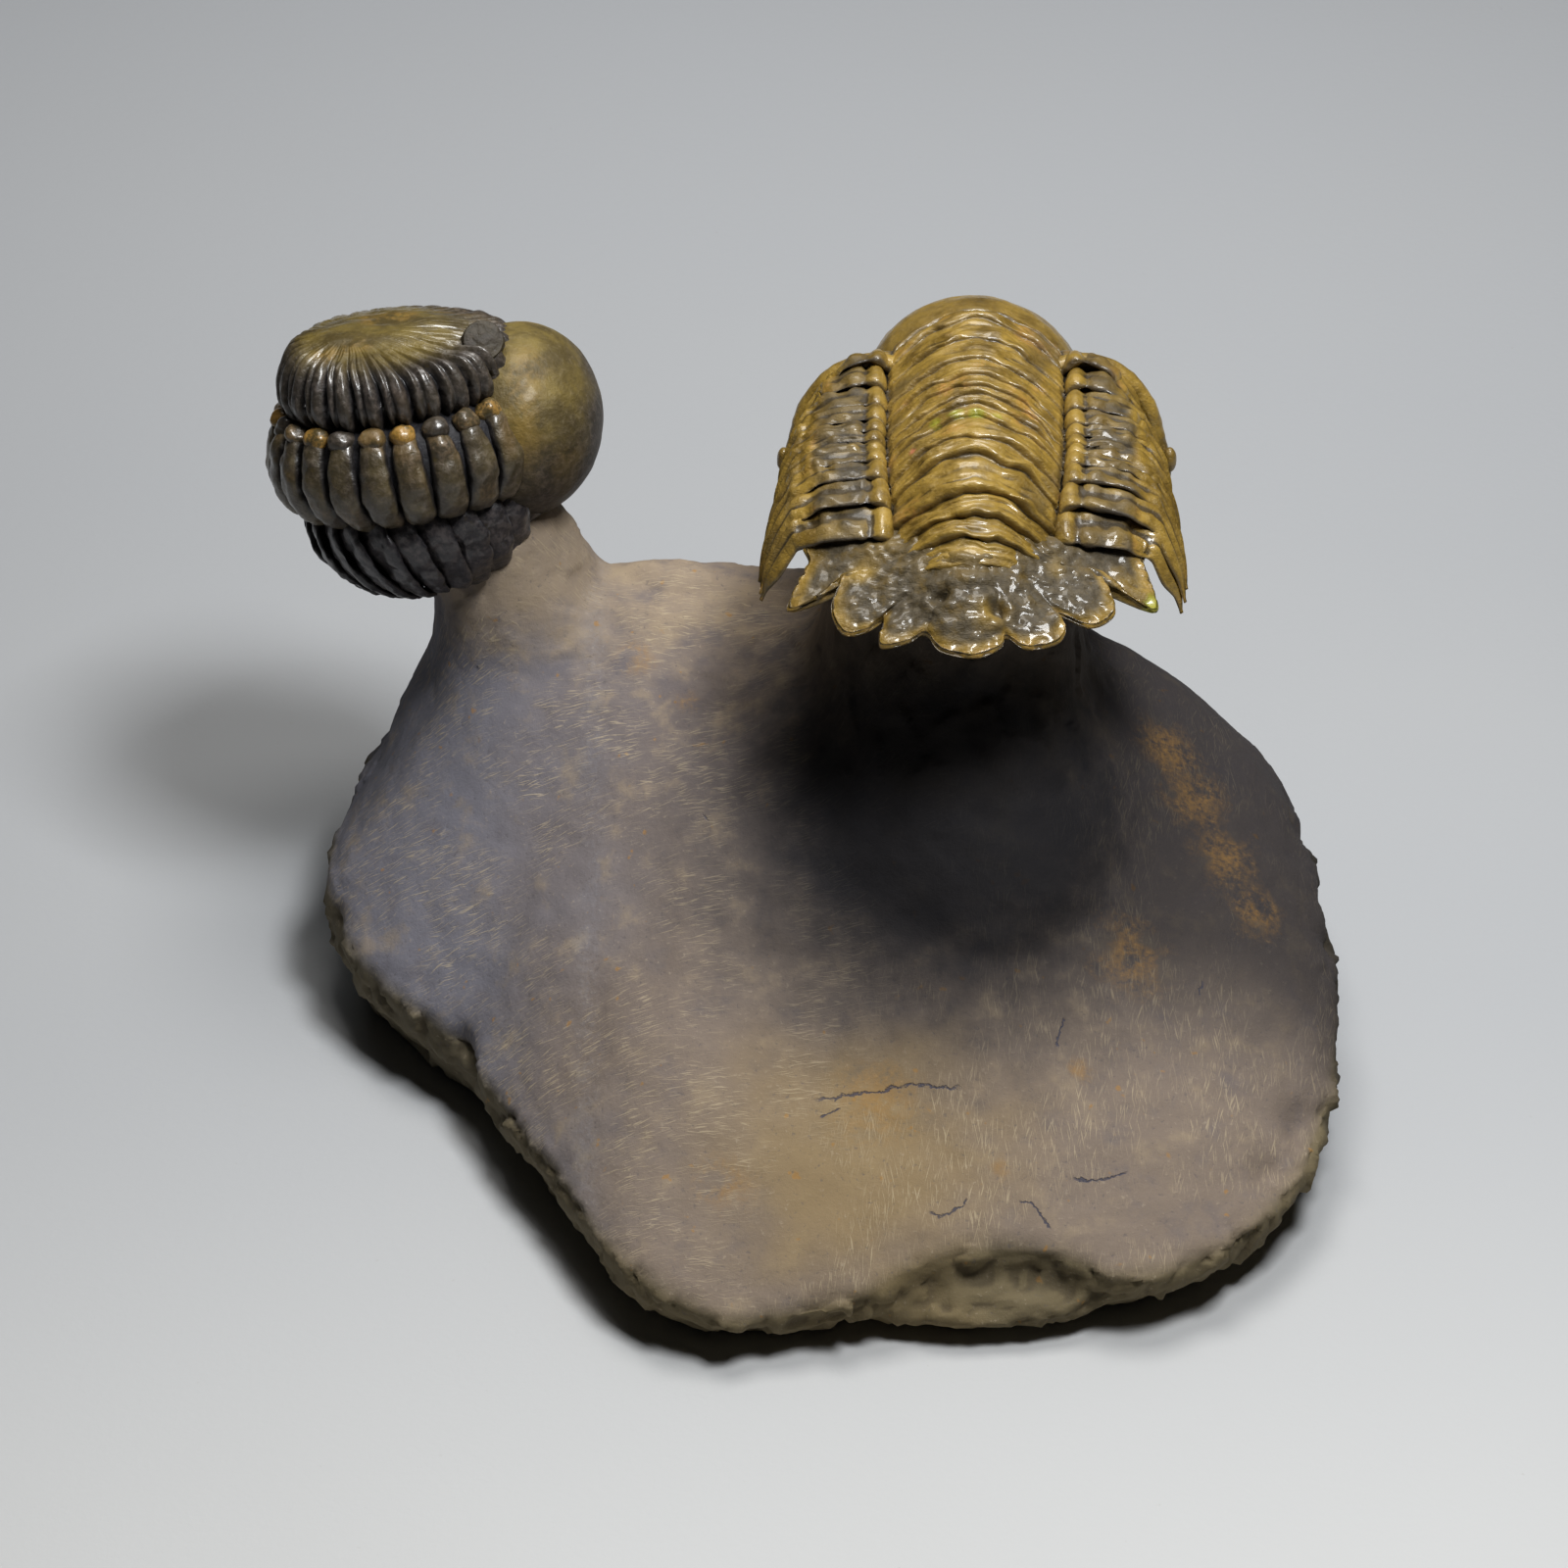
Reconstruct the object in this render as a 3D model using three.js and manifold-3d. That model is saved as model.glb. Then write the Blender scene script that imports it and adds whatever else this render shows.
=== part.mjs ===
// Trilobite cluster plate: one block of mudstone that rises into two rock pedestals,
// with an outstretched trilobite on the right pedestal and a rolled-up one on the left.
// Lengths are in millimetres. +Z is up, and the outstretched trilobite's tail points to -Y.

import * as THREE from "three";
import { mergeVertices } from "three/addons/utils/BufferGeometryUtils.js";
import Module from "manifold-3d";

const wasm = await Module();
wasm.setup();

// Fit between the fossils and the rock that carries them.
const FIT_GAP = 0.3;

// Stone block.
const RIM = [
  [-42.5, 7.4, 13.0], [-43.4, -0.9, 12.0], [-42.6, -4.3, 11.0], [-39.3, -9.7, 9.5],
  [-34.1, -14.9, 8.5], [-30.6, -18.7, 8.0], [-28.8, -22.4, 8.0], [-26.1, -27.9, 8.0],
  [-22.6, -33.8, 8.0], [-19.2, -40.1, 7.5], [-16.0, -44.1, 7.0], [-12.0, -47.0, 6.0],
  [-8.2, -47.8, 5.0], [-3.5, -47.4, 5.0], [2.7, -46.3, 5.5], [7.5, -43.4, 7.2],
  [13.0, -42.6, 7.8], [19.0, -43.2, 7.2], [23.8, -45.0, 6.0], [31.0, -42.5, 6.5],
  [36.1, -37.3, 7.0], [40.5, -30.8, 8.0], [42.6, -23.0, 9.5], [43.7, -14.5, 11.0],
  [43.2, -5.0, 13.0], [42.6, 4.0, 15.0], [40.0, 14.0, 15.0], [33.0, 24.0, 14.0],
  [20.0, 32.0, 12.5], [5.0, 36.0, 12.0], [-10.0, 36.5, 12.0], [-24.0, 33.5, 12.0],
  [-34.0, 26.0, 12.5], [-40.0, 17.0, 13.0],
];
const RIM_COLUMNS = 42;
const RIDGE_LEFT = [-22.0, 16.0, 29.6];
const RIDGE_RIGHT = [30.0, 12.5, 26.6];
const RIDGE_HALF_DEPTH = 3.0;
const RIDGE_STRETCH = 1.2;
const DOME_ROUNDNESS = 1.55;
const DOME_LEVELS = [1.0, 0.82, 0.64, 0.47, 0.31, 0.17, 0.06, 0.0];

// Broken facets of the block: their height, and how fast they turn round it and down it.
const FACET_RELIEF = 0.55;
const FACET_QUICK = { around: 1.7, down: 2.3 };
const FACET_SLOW = { around: 0.6, down: 1.1 };

// Undercut side of the block, down to the flat face that it rests on.
const BASE_MIDDLE = [0.0, -4.0, 0.0];
const SKIRT = [
  { inset: 0.985, height: 0.62 },
  { inset: 0.95, height: 0.3 },
  { inset: 0.9, height: 0.0 },
];
const LEDGE_LUMP = { at: [16.0, -38.0, 2.9], size: [9.5, 7.6, 2.9], columns: 14, rows: 8 };
const LEDGE_HOLLOW = { at: [9.0, -48.5, 4.6], size: [8.5, 4.6, 2.6], columns: 12, rows: 8 };

// Rock pedestals, from the top section down: centre, then half width and half depth.
const LEFT_PEDESTAL = [
  { at: [-29.2, 18.4, 41.5], half: [5.4, 5.6] },
  { at: [-28.0, 18.0, 37.0], half: [6.9, 6.8] },
  { at: [-26.6, 17.4, 32.0], half: [7.9, 7.9] },
  { at: [-25.6, 16.4, 28.0], half: [8.4, 9.2] },
  { at: [-24.6, 15.0, 24.0], half: [9.4, 11.4] },
  { at: [-24.4, 14.0, 18.0], half: [11.4, 13.4] },
];
const RIGHT_PEDESTAL = [
  { at: [11.8, 8.2, 50.6], half: [9.8, 12.4] },
  { at: [11.4, 7.6, 45.0], half: [10.2, 12.8] },
  { at: [10.8, 6.8, 39.0], half: [10.6, 13.4] },
  { at: [10.5, 5.6, 34.0], half: [11.6, 15.0] },
  { at: [10.6, 4.4, 29.5], half: [13.4, 17.4] },
  { at: [10.8, 3.4, 25.5], half: [15.2, 19.6] },
  { at: [10.8, 3.0, 19.0], half: [16.6, 20.4] },
];
const FOOT_SWELL = [
  { at: [-24.6, 14.8], half: [9.6, 11.6], rise: 2.4, fade: 2.2 },
  { at: [10.8, 3.4], half: [14.6, 18.8], rise: 4.6, fade: 3.2 },
];
const PEDESTAL_COLUMNS = 20;
const SWELL_BLEND = 4.0;

// Outstretched trilobite: crest of the axis from the neck ring to the tail, as y and z.
const CREST = [
  [20.5, 55.3], [18.3, 55.5], [16.0, 55.6], [13.7, 55.7], [11.4, 55.8], [9.1, 55.9],
  [6.9, 56.0], [4.7, 56.1], [2.5, 56.1], [0.2, 55.9], [-2.1, 55.3], [-4.4, 54.3],
  [-6.8, 53.0], [-9.2, 51.5], [-11.5, 49.9], [-13.8, 48.3], [-16.0, 46.9],
];
const SEGMENT_COUNT = 11;
const AXIS_MIDDLE_X = 12.0;
const BODY_YAW = 0.035;
const AXIS_HALF = [
  7.3, 7.3, 7.2, 7.2, 7.2, 7.2, 7.1, 7.0, 6.8, 6.6, 6.2, 5.7, 5.0, 4.0, 3.0, 2.1, 1.0,
];
const ARCH_HEIGHT = [
  3.7, 3.7, 3.7, 3.7, 3.7, 3.7, 3.7, 3.7, 3.7, 3.7, 3.6, 3.4, 2.9, 2.3, 1.7, 1.1, 0.4,
];
const FULCRUM_HALF = [
  11.2, 12.0, 12.5, 12.8, 12.9, 12.9, 12.9, 12.9, 12.8, 12.7, 12.5, 12.2, 10.6, 8.4, 6.2, 4.2, 1.8,
];

// Section of a body ring: arched axis, furrow, rib and bend, with how far it sweeps back.
const AXIS_PARTS = [0.32, 0.62, 0.86];
const ARCH_POWER = 1.7;
const ARCH_SWEEP = 2.0;
const FURROW = { outward: 0.1, up: -0.35 };
const RIB_START = { outward: 0.7, up: 0.25 };
const RIB_BEND_UP = -0.4;

// Length of a ring within its segment, and the steps between rings and between ribs.
const RING_STEP = 0.5;
const RIB_STEP = 0.35;
const RING_FRONT = -0.42;
const RING_REAR = 0.3;
const RING_LAST = 14;

// Underside of the ringed body, and its two closed ends.
const SHELL_DEPTH = 3.2;
const SHELL_END_DEPTH = 0.7;
const SHELL_UNDER_SHARE = 0.9;
const SHELL_START = -0.6;
const SHELL_FRONT = { reach: 0.0, up: -1.0 };
const SHELL_REAR = { reach: 2.6, up: 0.8 };
const NECK_OVERHANG = 2.2;

const BEAD_RADIUS = 0.75;
const BEAD_OFFSET = 1.0;
const BEAD_LIFT = 0.4;
const BLADE_ROOT_UP = -1.0;
const BLADE_DROP = 5.4;
const BLADE_SPREAD = 3.9;
const BLADE_SWEEP = 3.9;
const BLADE_CURVE = { outward: 0.85, down: 1.15, back: 1.3 };
const BLADE_CORNERS = 4;
const BLADE_STEPS = [
  { part: -0.12, reach: 1.1, thick: 0.5 },
  { part: 0.5, reach: 1.15, thick: 0.4 },
  { part: 1.0, reach: 0.2, thick: 0.16 },
];
const GLABELLA = { at: [12.9, 26.0, 43.1], size: [10.0, 9.6, 9.6], columns: 18, rows: 12 };
const CHEEK = { side: 11.3, at: [22.4, 42.8], size: [4.0, 4.6, 5.0], columns: 10, rows: 7 };
const CHEEK_RIM = [
  [4.6, 18.6, 50.6], [8.0, 19.8, 51.6], [11.6, 19.7, 50.8], [14.2, 19.0, 48.2],
  [15.4, 18.2, 44.8], [16.0, 17.2, 42.8],
];
const CHEEK_RIM_BAND = { forward: [0.0, 0.8, -0.6], reach: 1.3, thick: 0.7, corners: 6 };
const CHEEK_STUB = { side: 16.2, at: [17.2, 43.8], radius: 0.8, length: 2.4, lean: 0.5, columns: 8 };

// Tail shield: half-width, y and z of the points round its edge, notch and lobe in turn.
const TAIL_EDGE = [
  [-11.6, -3.4, 50.2], [-13.4, -5.4, 48.6], [-15.0, -8.8, 46.8], [-12.6, -8.8, 47.8], [-10.6, -7.4, 49.2],
  [-11.4, -10.2, 48.0], [-10.4, -12.4, 47.0], [-8.6, -12.4, 47.2], [-7.2, -11.4, 47.8],
  [-7.4, -14.0, 46.9], [-5.2, -13.9, 47.2], [-3.8, -13.3, 47.7],
  [-2.6, -15.0, 47.2], [0.2, -15.6, 47.0], [2.2, -14.7, 47.3], [2.6, -13.7, 47.7],
  [4.2, -14.7, 47.2], [6.6, -14.1, 47.2], [7.4, -12.7, 47.7], [6.8, -11.5, 48.2],
  [9.4, -12.1, 47.4], [11.2, -10.9, 47.6], [11.2, -9.3, 48.2], [10.2, -7.2, 49.4],
  [12.6, -8.6, 48.0], [14.8, -9.0, 46.8], [13.8, -5.4, 48.6], [11.6, -3.4, 50.2],
];
const TAIL_CENTRE = [0.0, -6.0, 50.6];
const TAIL_THICK = 0.85;
const TAIL_MIDDLE_THICKER = 0.8;
const TAIL_LEVELS = [
  { share: 0.0, lift: 0.4 },
  { share: 0.55, lift: 0.45 },
  { share: 1.0, lift: 0.0 },
];

// Rolled-up trilobite: a barrel about its own axis, which leans back and to the left.
const ROLL_CENTRE = [-35.2, 18.5, 44.6];
const ROLL_AXIS = [-0.15, 0.266, 0.952];
const ROLL_FRONT = [0.0, -0.96, 0.28];
const ROLL_PROFILE = [
  { high: 11.4, out: 0.0, ridge: 0.0 },
  { high: 11.2, out: 3.6, ridge: 0.04 },
  { high: 10.2, out: 7.0, ridge: 0.14 },
  { high: 8.7, out: 9.3, ridge: 0.26 },
  { high: 6.8, out: 10.1, ridge: 0.34 },
  { high: 5.2, out: 9.9, ridge: 0.38 },
  { high: 4.4, out: 9.0, ridge: 0.25 },
  { high: 3.6, out: 11.0, ridge: 0.5 },
  { high: 2.0, out: 12.5, ridge: 0.65 },
  { high: -0.4, out: 12.7, ridge: 0.65 },
  { high: -2.6, out: 11.4, ridge: 0.65 },
  { high: -3.6, out: 9.3, ridge: 0.6 },
  { high: -4.8, out: 9.9, ridge: 0.5 },
  { high: -8.0, out: 8.9, ridge: 0.5 },
  { high: -11.0, out: 6.5, ridge: 0.45 },
  { high: -12.2, out: 3.4, ridge: 0.1 },
  { high: -12.4, out: 0.0, ridge: 0.0 },
];
const ROLL_RIDGES = 24;
const ROLL_PHASE_DEGREES = 41.4;
const ROLL_BEADS = 12;
const ROLL_BEAD_RADIUS = 0.95;
const ROLL_BEAD_HIGH = 4.1;
const ROLL_BEAD_OUT = 10.3;
const ROLL_GLABELLA = { at: [-26.1, 19.8, 46.0], size: [7.2, 8.4, 8.3], columns: 20, rows: 13 };
const NODE_STUB = {
  degrees: 72.0, high: 8.6, out: 8.4, topRadius: 1.5, footRadius: 1.8, length: 3.4, aim: [0.12, -0.55, 0.82],
};
const NODE_STUB_COLUMNS = 12;

// Colours.
const STONE_COLOUR = "#8a7d78";
const FOSSIL_COLOUR = "#6f5f35";
const ROLLED_COLOUR = "#574c33";

function vector(list) {
  return new THREE.Vector3(list[0], list[1], list[2]);
}

// Closed body from rings of points. The first and the last row are single points.
function ringBody(rowCount, columnCount, pointAt) {
  const positions = [];
  const triangles = [];
  const first = pointAt(0, 0);
  positions.push(first.x, first.y, first.z);
  for (let row = 1; row < rowCount; row += 1) {
    for (let column = 0; column < columnCount; column += 1) {
      const point = pointAt(row, column);
      positions.push(point.x, point.y, point.z);
    }
  }
  const last = pointAt(rowCount, 0);
  positions.push(last.x, last.y, last.z);
  const lastIndex = positions.length / 3 - 1;
  const indexAt = (row, column) => 1 + (row - 1) * columnCount + (column % columnCount);
  for (let column = 0; column < columnCount; column += 1) {
    triangles.push(0, indexAt(1, column), indexAt(1, column + 1));
    triangles.push(lastIndex, indexAt(rowCount - 1, column + 1), indexAt(rowCount - 1, column));
    for (let row = 1; row < rowCount - 1; row += 1) {
      triangles.push(indexAt(row, column), indexAt(row + 1, column), indexAt(row, column + 1));
      triangles.push(indexAt(row, column + 1), indexAt(row + 1, column), indexAt(row + 1, column + 1));
    }
  }
  return solidFrom(positions, triangles);
}

function signedVolume(positions, triangles) {
  const a = new THREE.Vector3();
  const b = new THREE.Vector3();
  const c = new THREE.Vector3();
  let total = 0;
  for (let index = 0; index < triangles.length; index += 3) {
    a.fromArray(positions, triangles[index] * 3);
    b.fromArray(positions, triangles[index + 1] * 3);
    c.fromArray(positions, triangles[index + 2] * 3);
    total += a.dot(b.cross(c));
  }
  return total / 6;
}

// Turns points and triangles into a solid whose faces point outward.
function solidFrom(positions, triangles) {
  const corners = Uint32Array.from(triangles);
  if (signedVolume(positions, triangles) < 0) {
    for (let index = 0; index < corners.length; index += 3) {
      const second = corners[index + 1];
      corners[index + 1] = corners[index + 2];
      corners[index + 2] = second;
    }
  }
  const mesh = new wasm.Mesh({
    numProp: 3,
    vertProperties: Float32Array.from(positions),
    triVerts: corners,
  });
  return new wasm.Manifold(mesh);
}

// Turns a three.js geometry into a solid.
function solidOf(geometry) {
  const bare = geometry.clone();
  bare.deleteAttribute("normal");
  bare.deleteAttribute("uv");
  const merged = mergeVertices(bare, 1e-4);
  return solidFrom(Array.from(merged.attributes.position.array), Array.from(merged.index.array));
}

function ball(centre, size, columns, rows) {
  const geometry = new THREE.SphereGeometry(1, columns, rows);
  geometry.rotateX(Math.PI / 2);
  geometry.scale(size[0], size[1], size[2]);
  geometry.translate(centre.x, centre.y, centre.z);
  return solidOf(geometry);
}

// Rounded dome or lump, grown on all sides by the fit where it cuts a seat.
function domeOf(dome, grow) {
  const size = dome.size.map((value) => value + grow);
  return ball(vector(dome.at), size, dome.columns, dome.rows);
}

function fuse(solids) {
  let whole = solids[0];
  for (const solid of solids.slice(1)) {
    whole = whole.add(solid);
  }
  return whole;
}

// The body inside its outer surface: pockets that are sealed where bodies meet are solid.
function outerBody(solid) {
  let outer = solid;
  for (const part of solid.decompose()) {
    if (outer === solid || part.volume() > outer.volume()) {
      outer = part;
    }
  }
  return outer;
}

// Lofted body through flat elliptical sections.
function loft(sections, columns) {
  const rowCount = sections.length + 1;
  return ringBody(rowCount, columns, (row, column) => {
    const index = THREE.MathUtils.clamp(row - 1, 0, sections.length - 1);
    const section = sections[index];
    const centre = vector(section.at);
    if (row === 0 || row === rowCount) {
      return centre;
    }
    const angle = (2 * Math.PI * column) / columns;
    centre.x += section.half[0] * Math.cos(angle);
    centre.y += section.half[1] * Math.sin(angle);
    return centre;
  });
}

// Band with a flattened many-sided section, carried along a line of stations.
// Every station gives its centre, its reach along the body and its half thickness.
function band(stations, forward, corners, grow) {
  const count = stations.length;
  const along = new THREE.Vector3();
  const normal = new THREE.Vector3();
  return ringBody(count + 1, corners, (row, column) => {
    const index = THREE.MathUtils.clamp(row - 1, 0, count - 1);
    const station = stations[index];
    const point = station.centre.clone();
    const before = stations[Math.max(index - 1, 0)].centre;
    const after = stations[Math.min(index + 1, count - 1)].centre;
    along.subVectors(after, before).normalize();
    if (row === 0 || row === count + 1) {
      return point.addScaledVector(along, row === 0 ? -station.thick : station.thick);
    }
    normal.crossVectors(forward, along).normalize();
    const angle = (2 * Math.PI * column) / corners;
    point.addScaledVector(forward, (station.reach + grow) * Math.cos(angle));
    return point.addScaledVector(normal, (station.thick + grow) * Math.sin(angle));
  });
}

// Crest line of the outstretched trilobite, with the body's forward and upward directions.
const crestCurve = new THREE.CatmullRomCurve3(
  CREST.map(([y, z]) => new THREE.Vector3(AXIS_MIDDLE_X + BODY_YAW * y, y, z)),
  false,
  "centripetal",
);

function bodyFrame(station) {
  const share = station / (CREST.length - 1);
  const crest = crestCurve.getPoint(share);
  const forward = crestCurve.getTangent(share).negate();
  const side = new THREE.Vector3(1, 0, 0);
  side.addScaledVector(forward, -side.dot(forward)).normalize();
  const up = new THREE.Vector3().crossVectors(side, forward).normalize();
  return { crest, forward, side, up };
}

function placeInBody(frame, arch, outward, up, back) {
  const point = frame.crest.clone();
  point.addScaledVector(frame.side, outward);
  point.addScaledVector(frame.up, up - arch);
  return point.addScaledVector(frame.forward, -back);
}

// Value at a station that may lie between two listed ones.
function atStation(list, station) {
  const clamped = THREE.MathUtils.clamp(station, 0, list.length - 1);
  const lower = Math.floor(clamped);
  const upper = Math.min(lower + 1, list.length - 1);
  return THREE.MathUtils.lerp(list[lower], list[upper], clamped - lower);
}

// Upper line of a body ring on its right half: arched axis, furrow, flat rib, bend.
function halfSection(station) {
  const axisHalf = atStation(AXIS_HALF, station);
  const fulcrumHalf = atStation(FULCRUM_HALF, station);
  const arch = atStation(ARCH_HEIGHT, station);
  const points = AXIS_PARTS.map((part) => ({
    outward: axisHalf * part,
    up: arch * (1 - Math.pow(part, ARCH_POWER)),
    back: ARCH_SWEEP * part * part,
    step: RING_STEP,
  }));
  points.push({ outward: axisHalf + FURROW.outward, up: FURROW.up, back: ARCH_SWEEP, step: 0 });
  points.push({ outward: axisHalf + RIB_START.outward, up: RIB_START.up, back: ARCH_SWEEP, step: RIB_STEP });
  points.push({ outward: fulcrumHalf, up: RIB_BEND_UP, back: ARCH_SWEEP, step: RIB_STEP });
  return points;
}

// Ringed body from the neck ring to the end of the tail axis, closed underneath.
// Without rings it is the smooth shape that touches them, used to cut the seat in the rock.
function ringedShell(grow, ringed) {
  const rows = ringed ? [SHELL_START] : [SHELL_START, RING_FRONT];
  for (let station = 0; station <= RING_LAST; station += 1) {
    rows.push(...(ringed ? [station + RING_FRONT, station + RING_REAR] : [station]));
  }
  const corners = halfSection(0).length;
  const columns = corners * 2 + 4;
  return ringBody(rows.length, columns, (row, column) => {
    const station = rows[Math.min(row, rows.length - 1)];
    const frame = bodyFrame(THREE.MathUtils.clamp(station, 0, RING_LAST));
    const arch = atStation(ARCH_HEIGHT, station);
    const overhang = Math.min(station, 0) * NECK_OVERHANG;
    const tailShare = THREE.MathUtils.smoothstep(station, SEGMENT_COUNT, RING_LAST);
    const depth = THREE.MathUtils.lerp(SHELL_DEPTH, SHELL_END_DEPTH, tailShare) + grow;
    if (row === 0 || row === rows.length) {
      const end = row === 0 ? SHELL_FRONT : SHELL_REAR;
      const reach = end.reach + (row === 0 ? -grow : grow);
      return placeInBody(frame, arch, 0, end.up, overhang + reach);
    }
    const half = halfSection(station);
    const valley = ringed && row % 2 === 1 ? 1 : 0;
    const widest = half[corners - 1].outward;
    if (column === 0) {
      return placeInBody(frame, arch, 0, arch + grow - valley * RING_STEP, overhang);
    }
    if (column === corners + 1 || column === columns - corners - 1) {
      const side = column === corners + 1 ? 1 : -1;
      const outward = side * (widest * SHELL_UNDER_SHARE + grow);
      return placeInBody(frame, arch, outward, -depth, overhang + ARCH_SWEEP);
    }
    if (column === corners + 2) {
      return placeInBody(frame, arch, 0, -depth, overhang + ARCH_SWEEP);
    }
    const right = column <= corners;
    const point = half[right ? column - 1 : columns - column - 1];
    const outward = (point.outward + grow) * (right ? 1 : -1);
    return placeInBody(frame, arch, outward, point.up + grow - valley * point.step, overhang + point.back);
  });
}

// Hanging blades of one segment, from the bend to the pointed tip.
function bladePair(segment) {
  const frame = bodyFrame(segment);
  const arch = atStation(ARCH_HEIGHT, segment);
  return [-1, 1].map((side) => {
    const stations = BLADE_STEPS.map((step) => {
      const share = Math.max(step.part, 0);
      const spread = step.part < 0 ? step.part : Math.pow(share, BLADE_CURVE.outward);
      const outward = FULCRUM_HALF[segment] + BLADE_SPREAD * spread;
      const up = BLADE_ROOT_UP - BLADE_DROP * Math.pow(share, BLADE_CURVE.down);
      const back = ARCH_SWEEP + BLADE_SWEEP * Math.pow(share, BLADE_CURVE.back);
      const centre = placeInBody(frame, arch, side * outward, up, back);
      return { centre, reach: step.reach, thick: step.thick };
    });
    return band(stations, frame.forward, BLADE_CORNERS, 0);
  });
}

function beadPair(segment) {
  const frame = bodyFrame(segment);
  const arch = atStation(ARCH_HEIGHT, segment);
  return [-1, 1].map((side) => {
    const bead = new THREE.IcosahedronGeometry(BEAD_RADIUS, 0);
    const outward = side * (AXIS_HALF[segment] + BEAD_OFFSET);
    const centre = placeInBody(frame, arch, outward, BEAD_LIFT, ARCH_SWEEP);
    bead.translate(centre.x, centre.y, centre.z);
    return solidOf(bead);
  });
}

function cheekBodies(grow) {
  const solids = [];
  for (const side of [-1, 1]) {
    const middle = GLABELLA.at[0];
    const pad = new THREE.Vector3(middle + side * CHEEK.side, CHEEK.at[0], CHEEK.at[1]);
    solids.push(ball(pad, CHEEK.size.map((value) => value + grow), CHEEK.columns, CHEEK.rows));
    const rim = CHEEK_RIM.map(([outward, y, z]) => ({
      centre: new THREE.Vector3(middle + side * outward, y, z),
      reach: CHEEK_RIM_BAND.reach,
      thick: CHEEK_RIM_BAND.thick,
    }));
    solids.push(band(rim, vector(CHEEK_RIM_BAND.forward), CHEEK_RIM_BAND.corners, grow));
    const { radius, length, columns } = CHEEK_STUB;
    const stub = new THREE.CylinderGeometry(radius, radius, length, columns);
    stub.rotateX(Math.PI / 2 - CHEEK_STUB.lean);
    stub.translate(middle + side * CHEEK_STUB.side, CHEEK_STUB.at[0], CHEEK_STUB.at[1]);
    solids.push(solidOf(stub));
  }
  return solids;
}

// Tail shield: lobed plate that falls away from the tail axis.
function tailPlate() {
  const edgeCount = TAIL_EDGE.length;
  const middleOf = (y) => AXIS_MIDDLE_X + BODY_YAW * y;
  const centre = new THREE.Vector3(middleOf(TAIL_CENTRE[1]), TAIL_CENTRE[1], TAIL_CENTRE[2]);
  const rowCount = TAIL_LEVELS.length * 2 - 1;
  return ringBody(rowCount, edgeCount, (row, column) => {
    const [outward, y, z] = TAIL_EDGE[column % edgeCount];
    const edge = new THREE.Vector3(middleOf(y) + outward, y, z);
    const top = row < TAIL_LEVELS.length;
    const { share, lift } = TAIL_LEVELS[top ? row : rowCount - row];
    const point = centre.clone().lerp(edge, share);
    point.z += lift;
    if (!top) {
      point.z -= TAIL_THICK + (1 - share) * TAIL_MIDDLE_THICKER;
    }
    return point;
  });
}

function outstretchedBody() {
  const solids = [ringedShell(0, true), domeOf(GLABELLA, 0), ...cheekBodies(0), tailPlate()];
  for (let segment = 1; segment <= SEGMENT_COUNT; segment += 1) {
    solids.push(...bladePair(segment), ...beadPair(segment));
  }
  return outerBody(fuse(solids));
}

// Directions of the rolled-up trilobite's own axis, front and side.
const rollAxis = vector(ROLL_AXIS).normalize();
const rollFront = vector(ROLL_FRONT);
rollFront.addScaledVector(rollAxis, -rollFront.dot(rollAxis)).normalize();
const rollSide = new THREE.Vector3().crossVectors(rollAxis, rollFront).normalize();

function placeInRoll(high, out, angle) {
  const point = vector(ROLL_CENTRE);
  point.addScaledVector(rollAxis, high);
  point.addScaledVector(rollSide, out * Math.sin(angle));
  return point.addScaledVector(rollFront, out * Math.cos(angle));
}

function rollBarrel(grow, ridged) {
  const columns = ridged ? ROLL_RIDGES * 2 : ROLL_RIDGES;
  const phase = THREE.MathUtils.degToRad(ROLL_PHASE_DEGREES);
  const last = ROLL_PROFILE.length - 1;
  return ringBody(last, columns, (row, column) => {
    const level = ROLL_PROFILE[row];
    const angle = phase + (2 * Math.PI * column) / columns;
    const valley = ridged && column % 2 === 0 ? level.ridge : 0;
    const out = row === 0 || row === last ? 0 : level.out + grow - valley;
    return placeInRoll(level.high + Math.sign(level.high) * grow, out, angle);
  });
}

function rolledBody() {
  const solids = [rollBarrel(0, true)];
  solids.push(domeOf(ROLL_GLABELLA, 0));
  const pitch = (2 * Math.PI) / ROLL_RIDGES;
  const start = THREE.MathUtils.degToRad(ROLL_PHASE_DEGREES) + pitch / 2;
  for (let bead = 0; bead < ROLL_BEADS; bead += 1) {
    const centre = placeInRoll(ROLL_BEAD_HIGH, ROLL_BEAD_OUT, start - bead * pitch);
    const geometry = new THREE.IcosahedronGeometry(ROLL_BEAD_RADIUS, 0);
    geometry.translate(centre.x, centre.y, centre.z);
    solids.push(solidOf(geometry));
  }
  const { topRadius, footRadius, length } = NODE_STUB;
  const stub = new THREE.CylinderGeometry(topRadius, footRadius, length, NODE_STUB_COLUMNS);
  const aim = vector(NODE_STUB.aim).normalize();
  stub.applyQuaternion(new THREE.Quaternion().setFromUnitVectors(new THREE.Vector3(0, 1, 0), aim));
  const foot = placeInRoll(NODE_STUB.high, NODE_STUB.out, THREE.MathUtils.degToRad(NODE_STUB.degrees));
  stub.translate(foot.x, foot.y, foot.z);
  solids.push(solidOf(stub));
  return fuse(solids);
}

// Stone block: a closed rim, a rounded top that climbs to a ridge, and an undercut skirt.
const rimCurve = new THREE.CatmullRomCurve3(RIM.map(vector), true, "centripetal");

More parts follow.
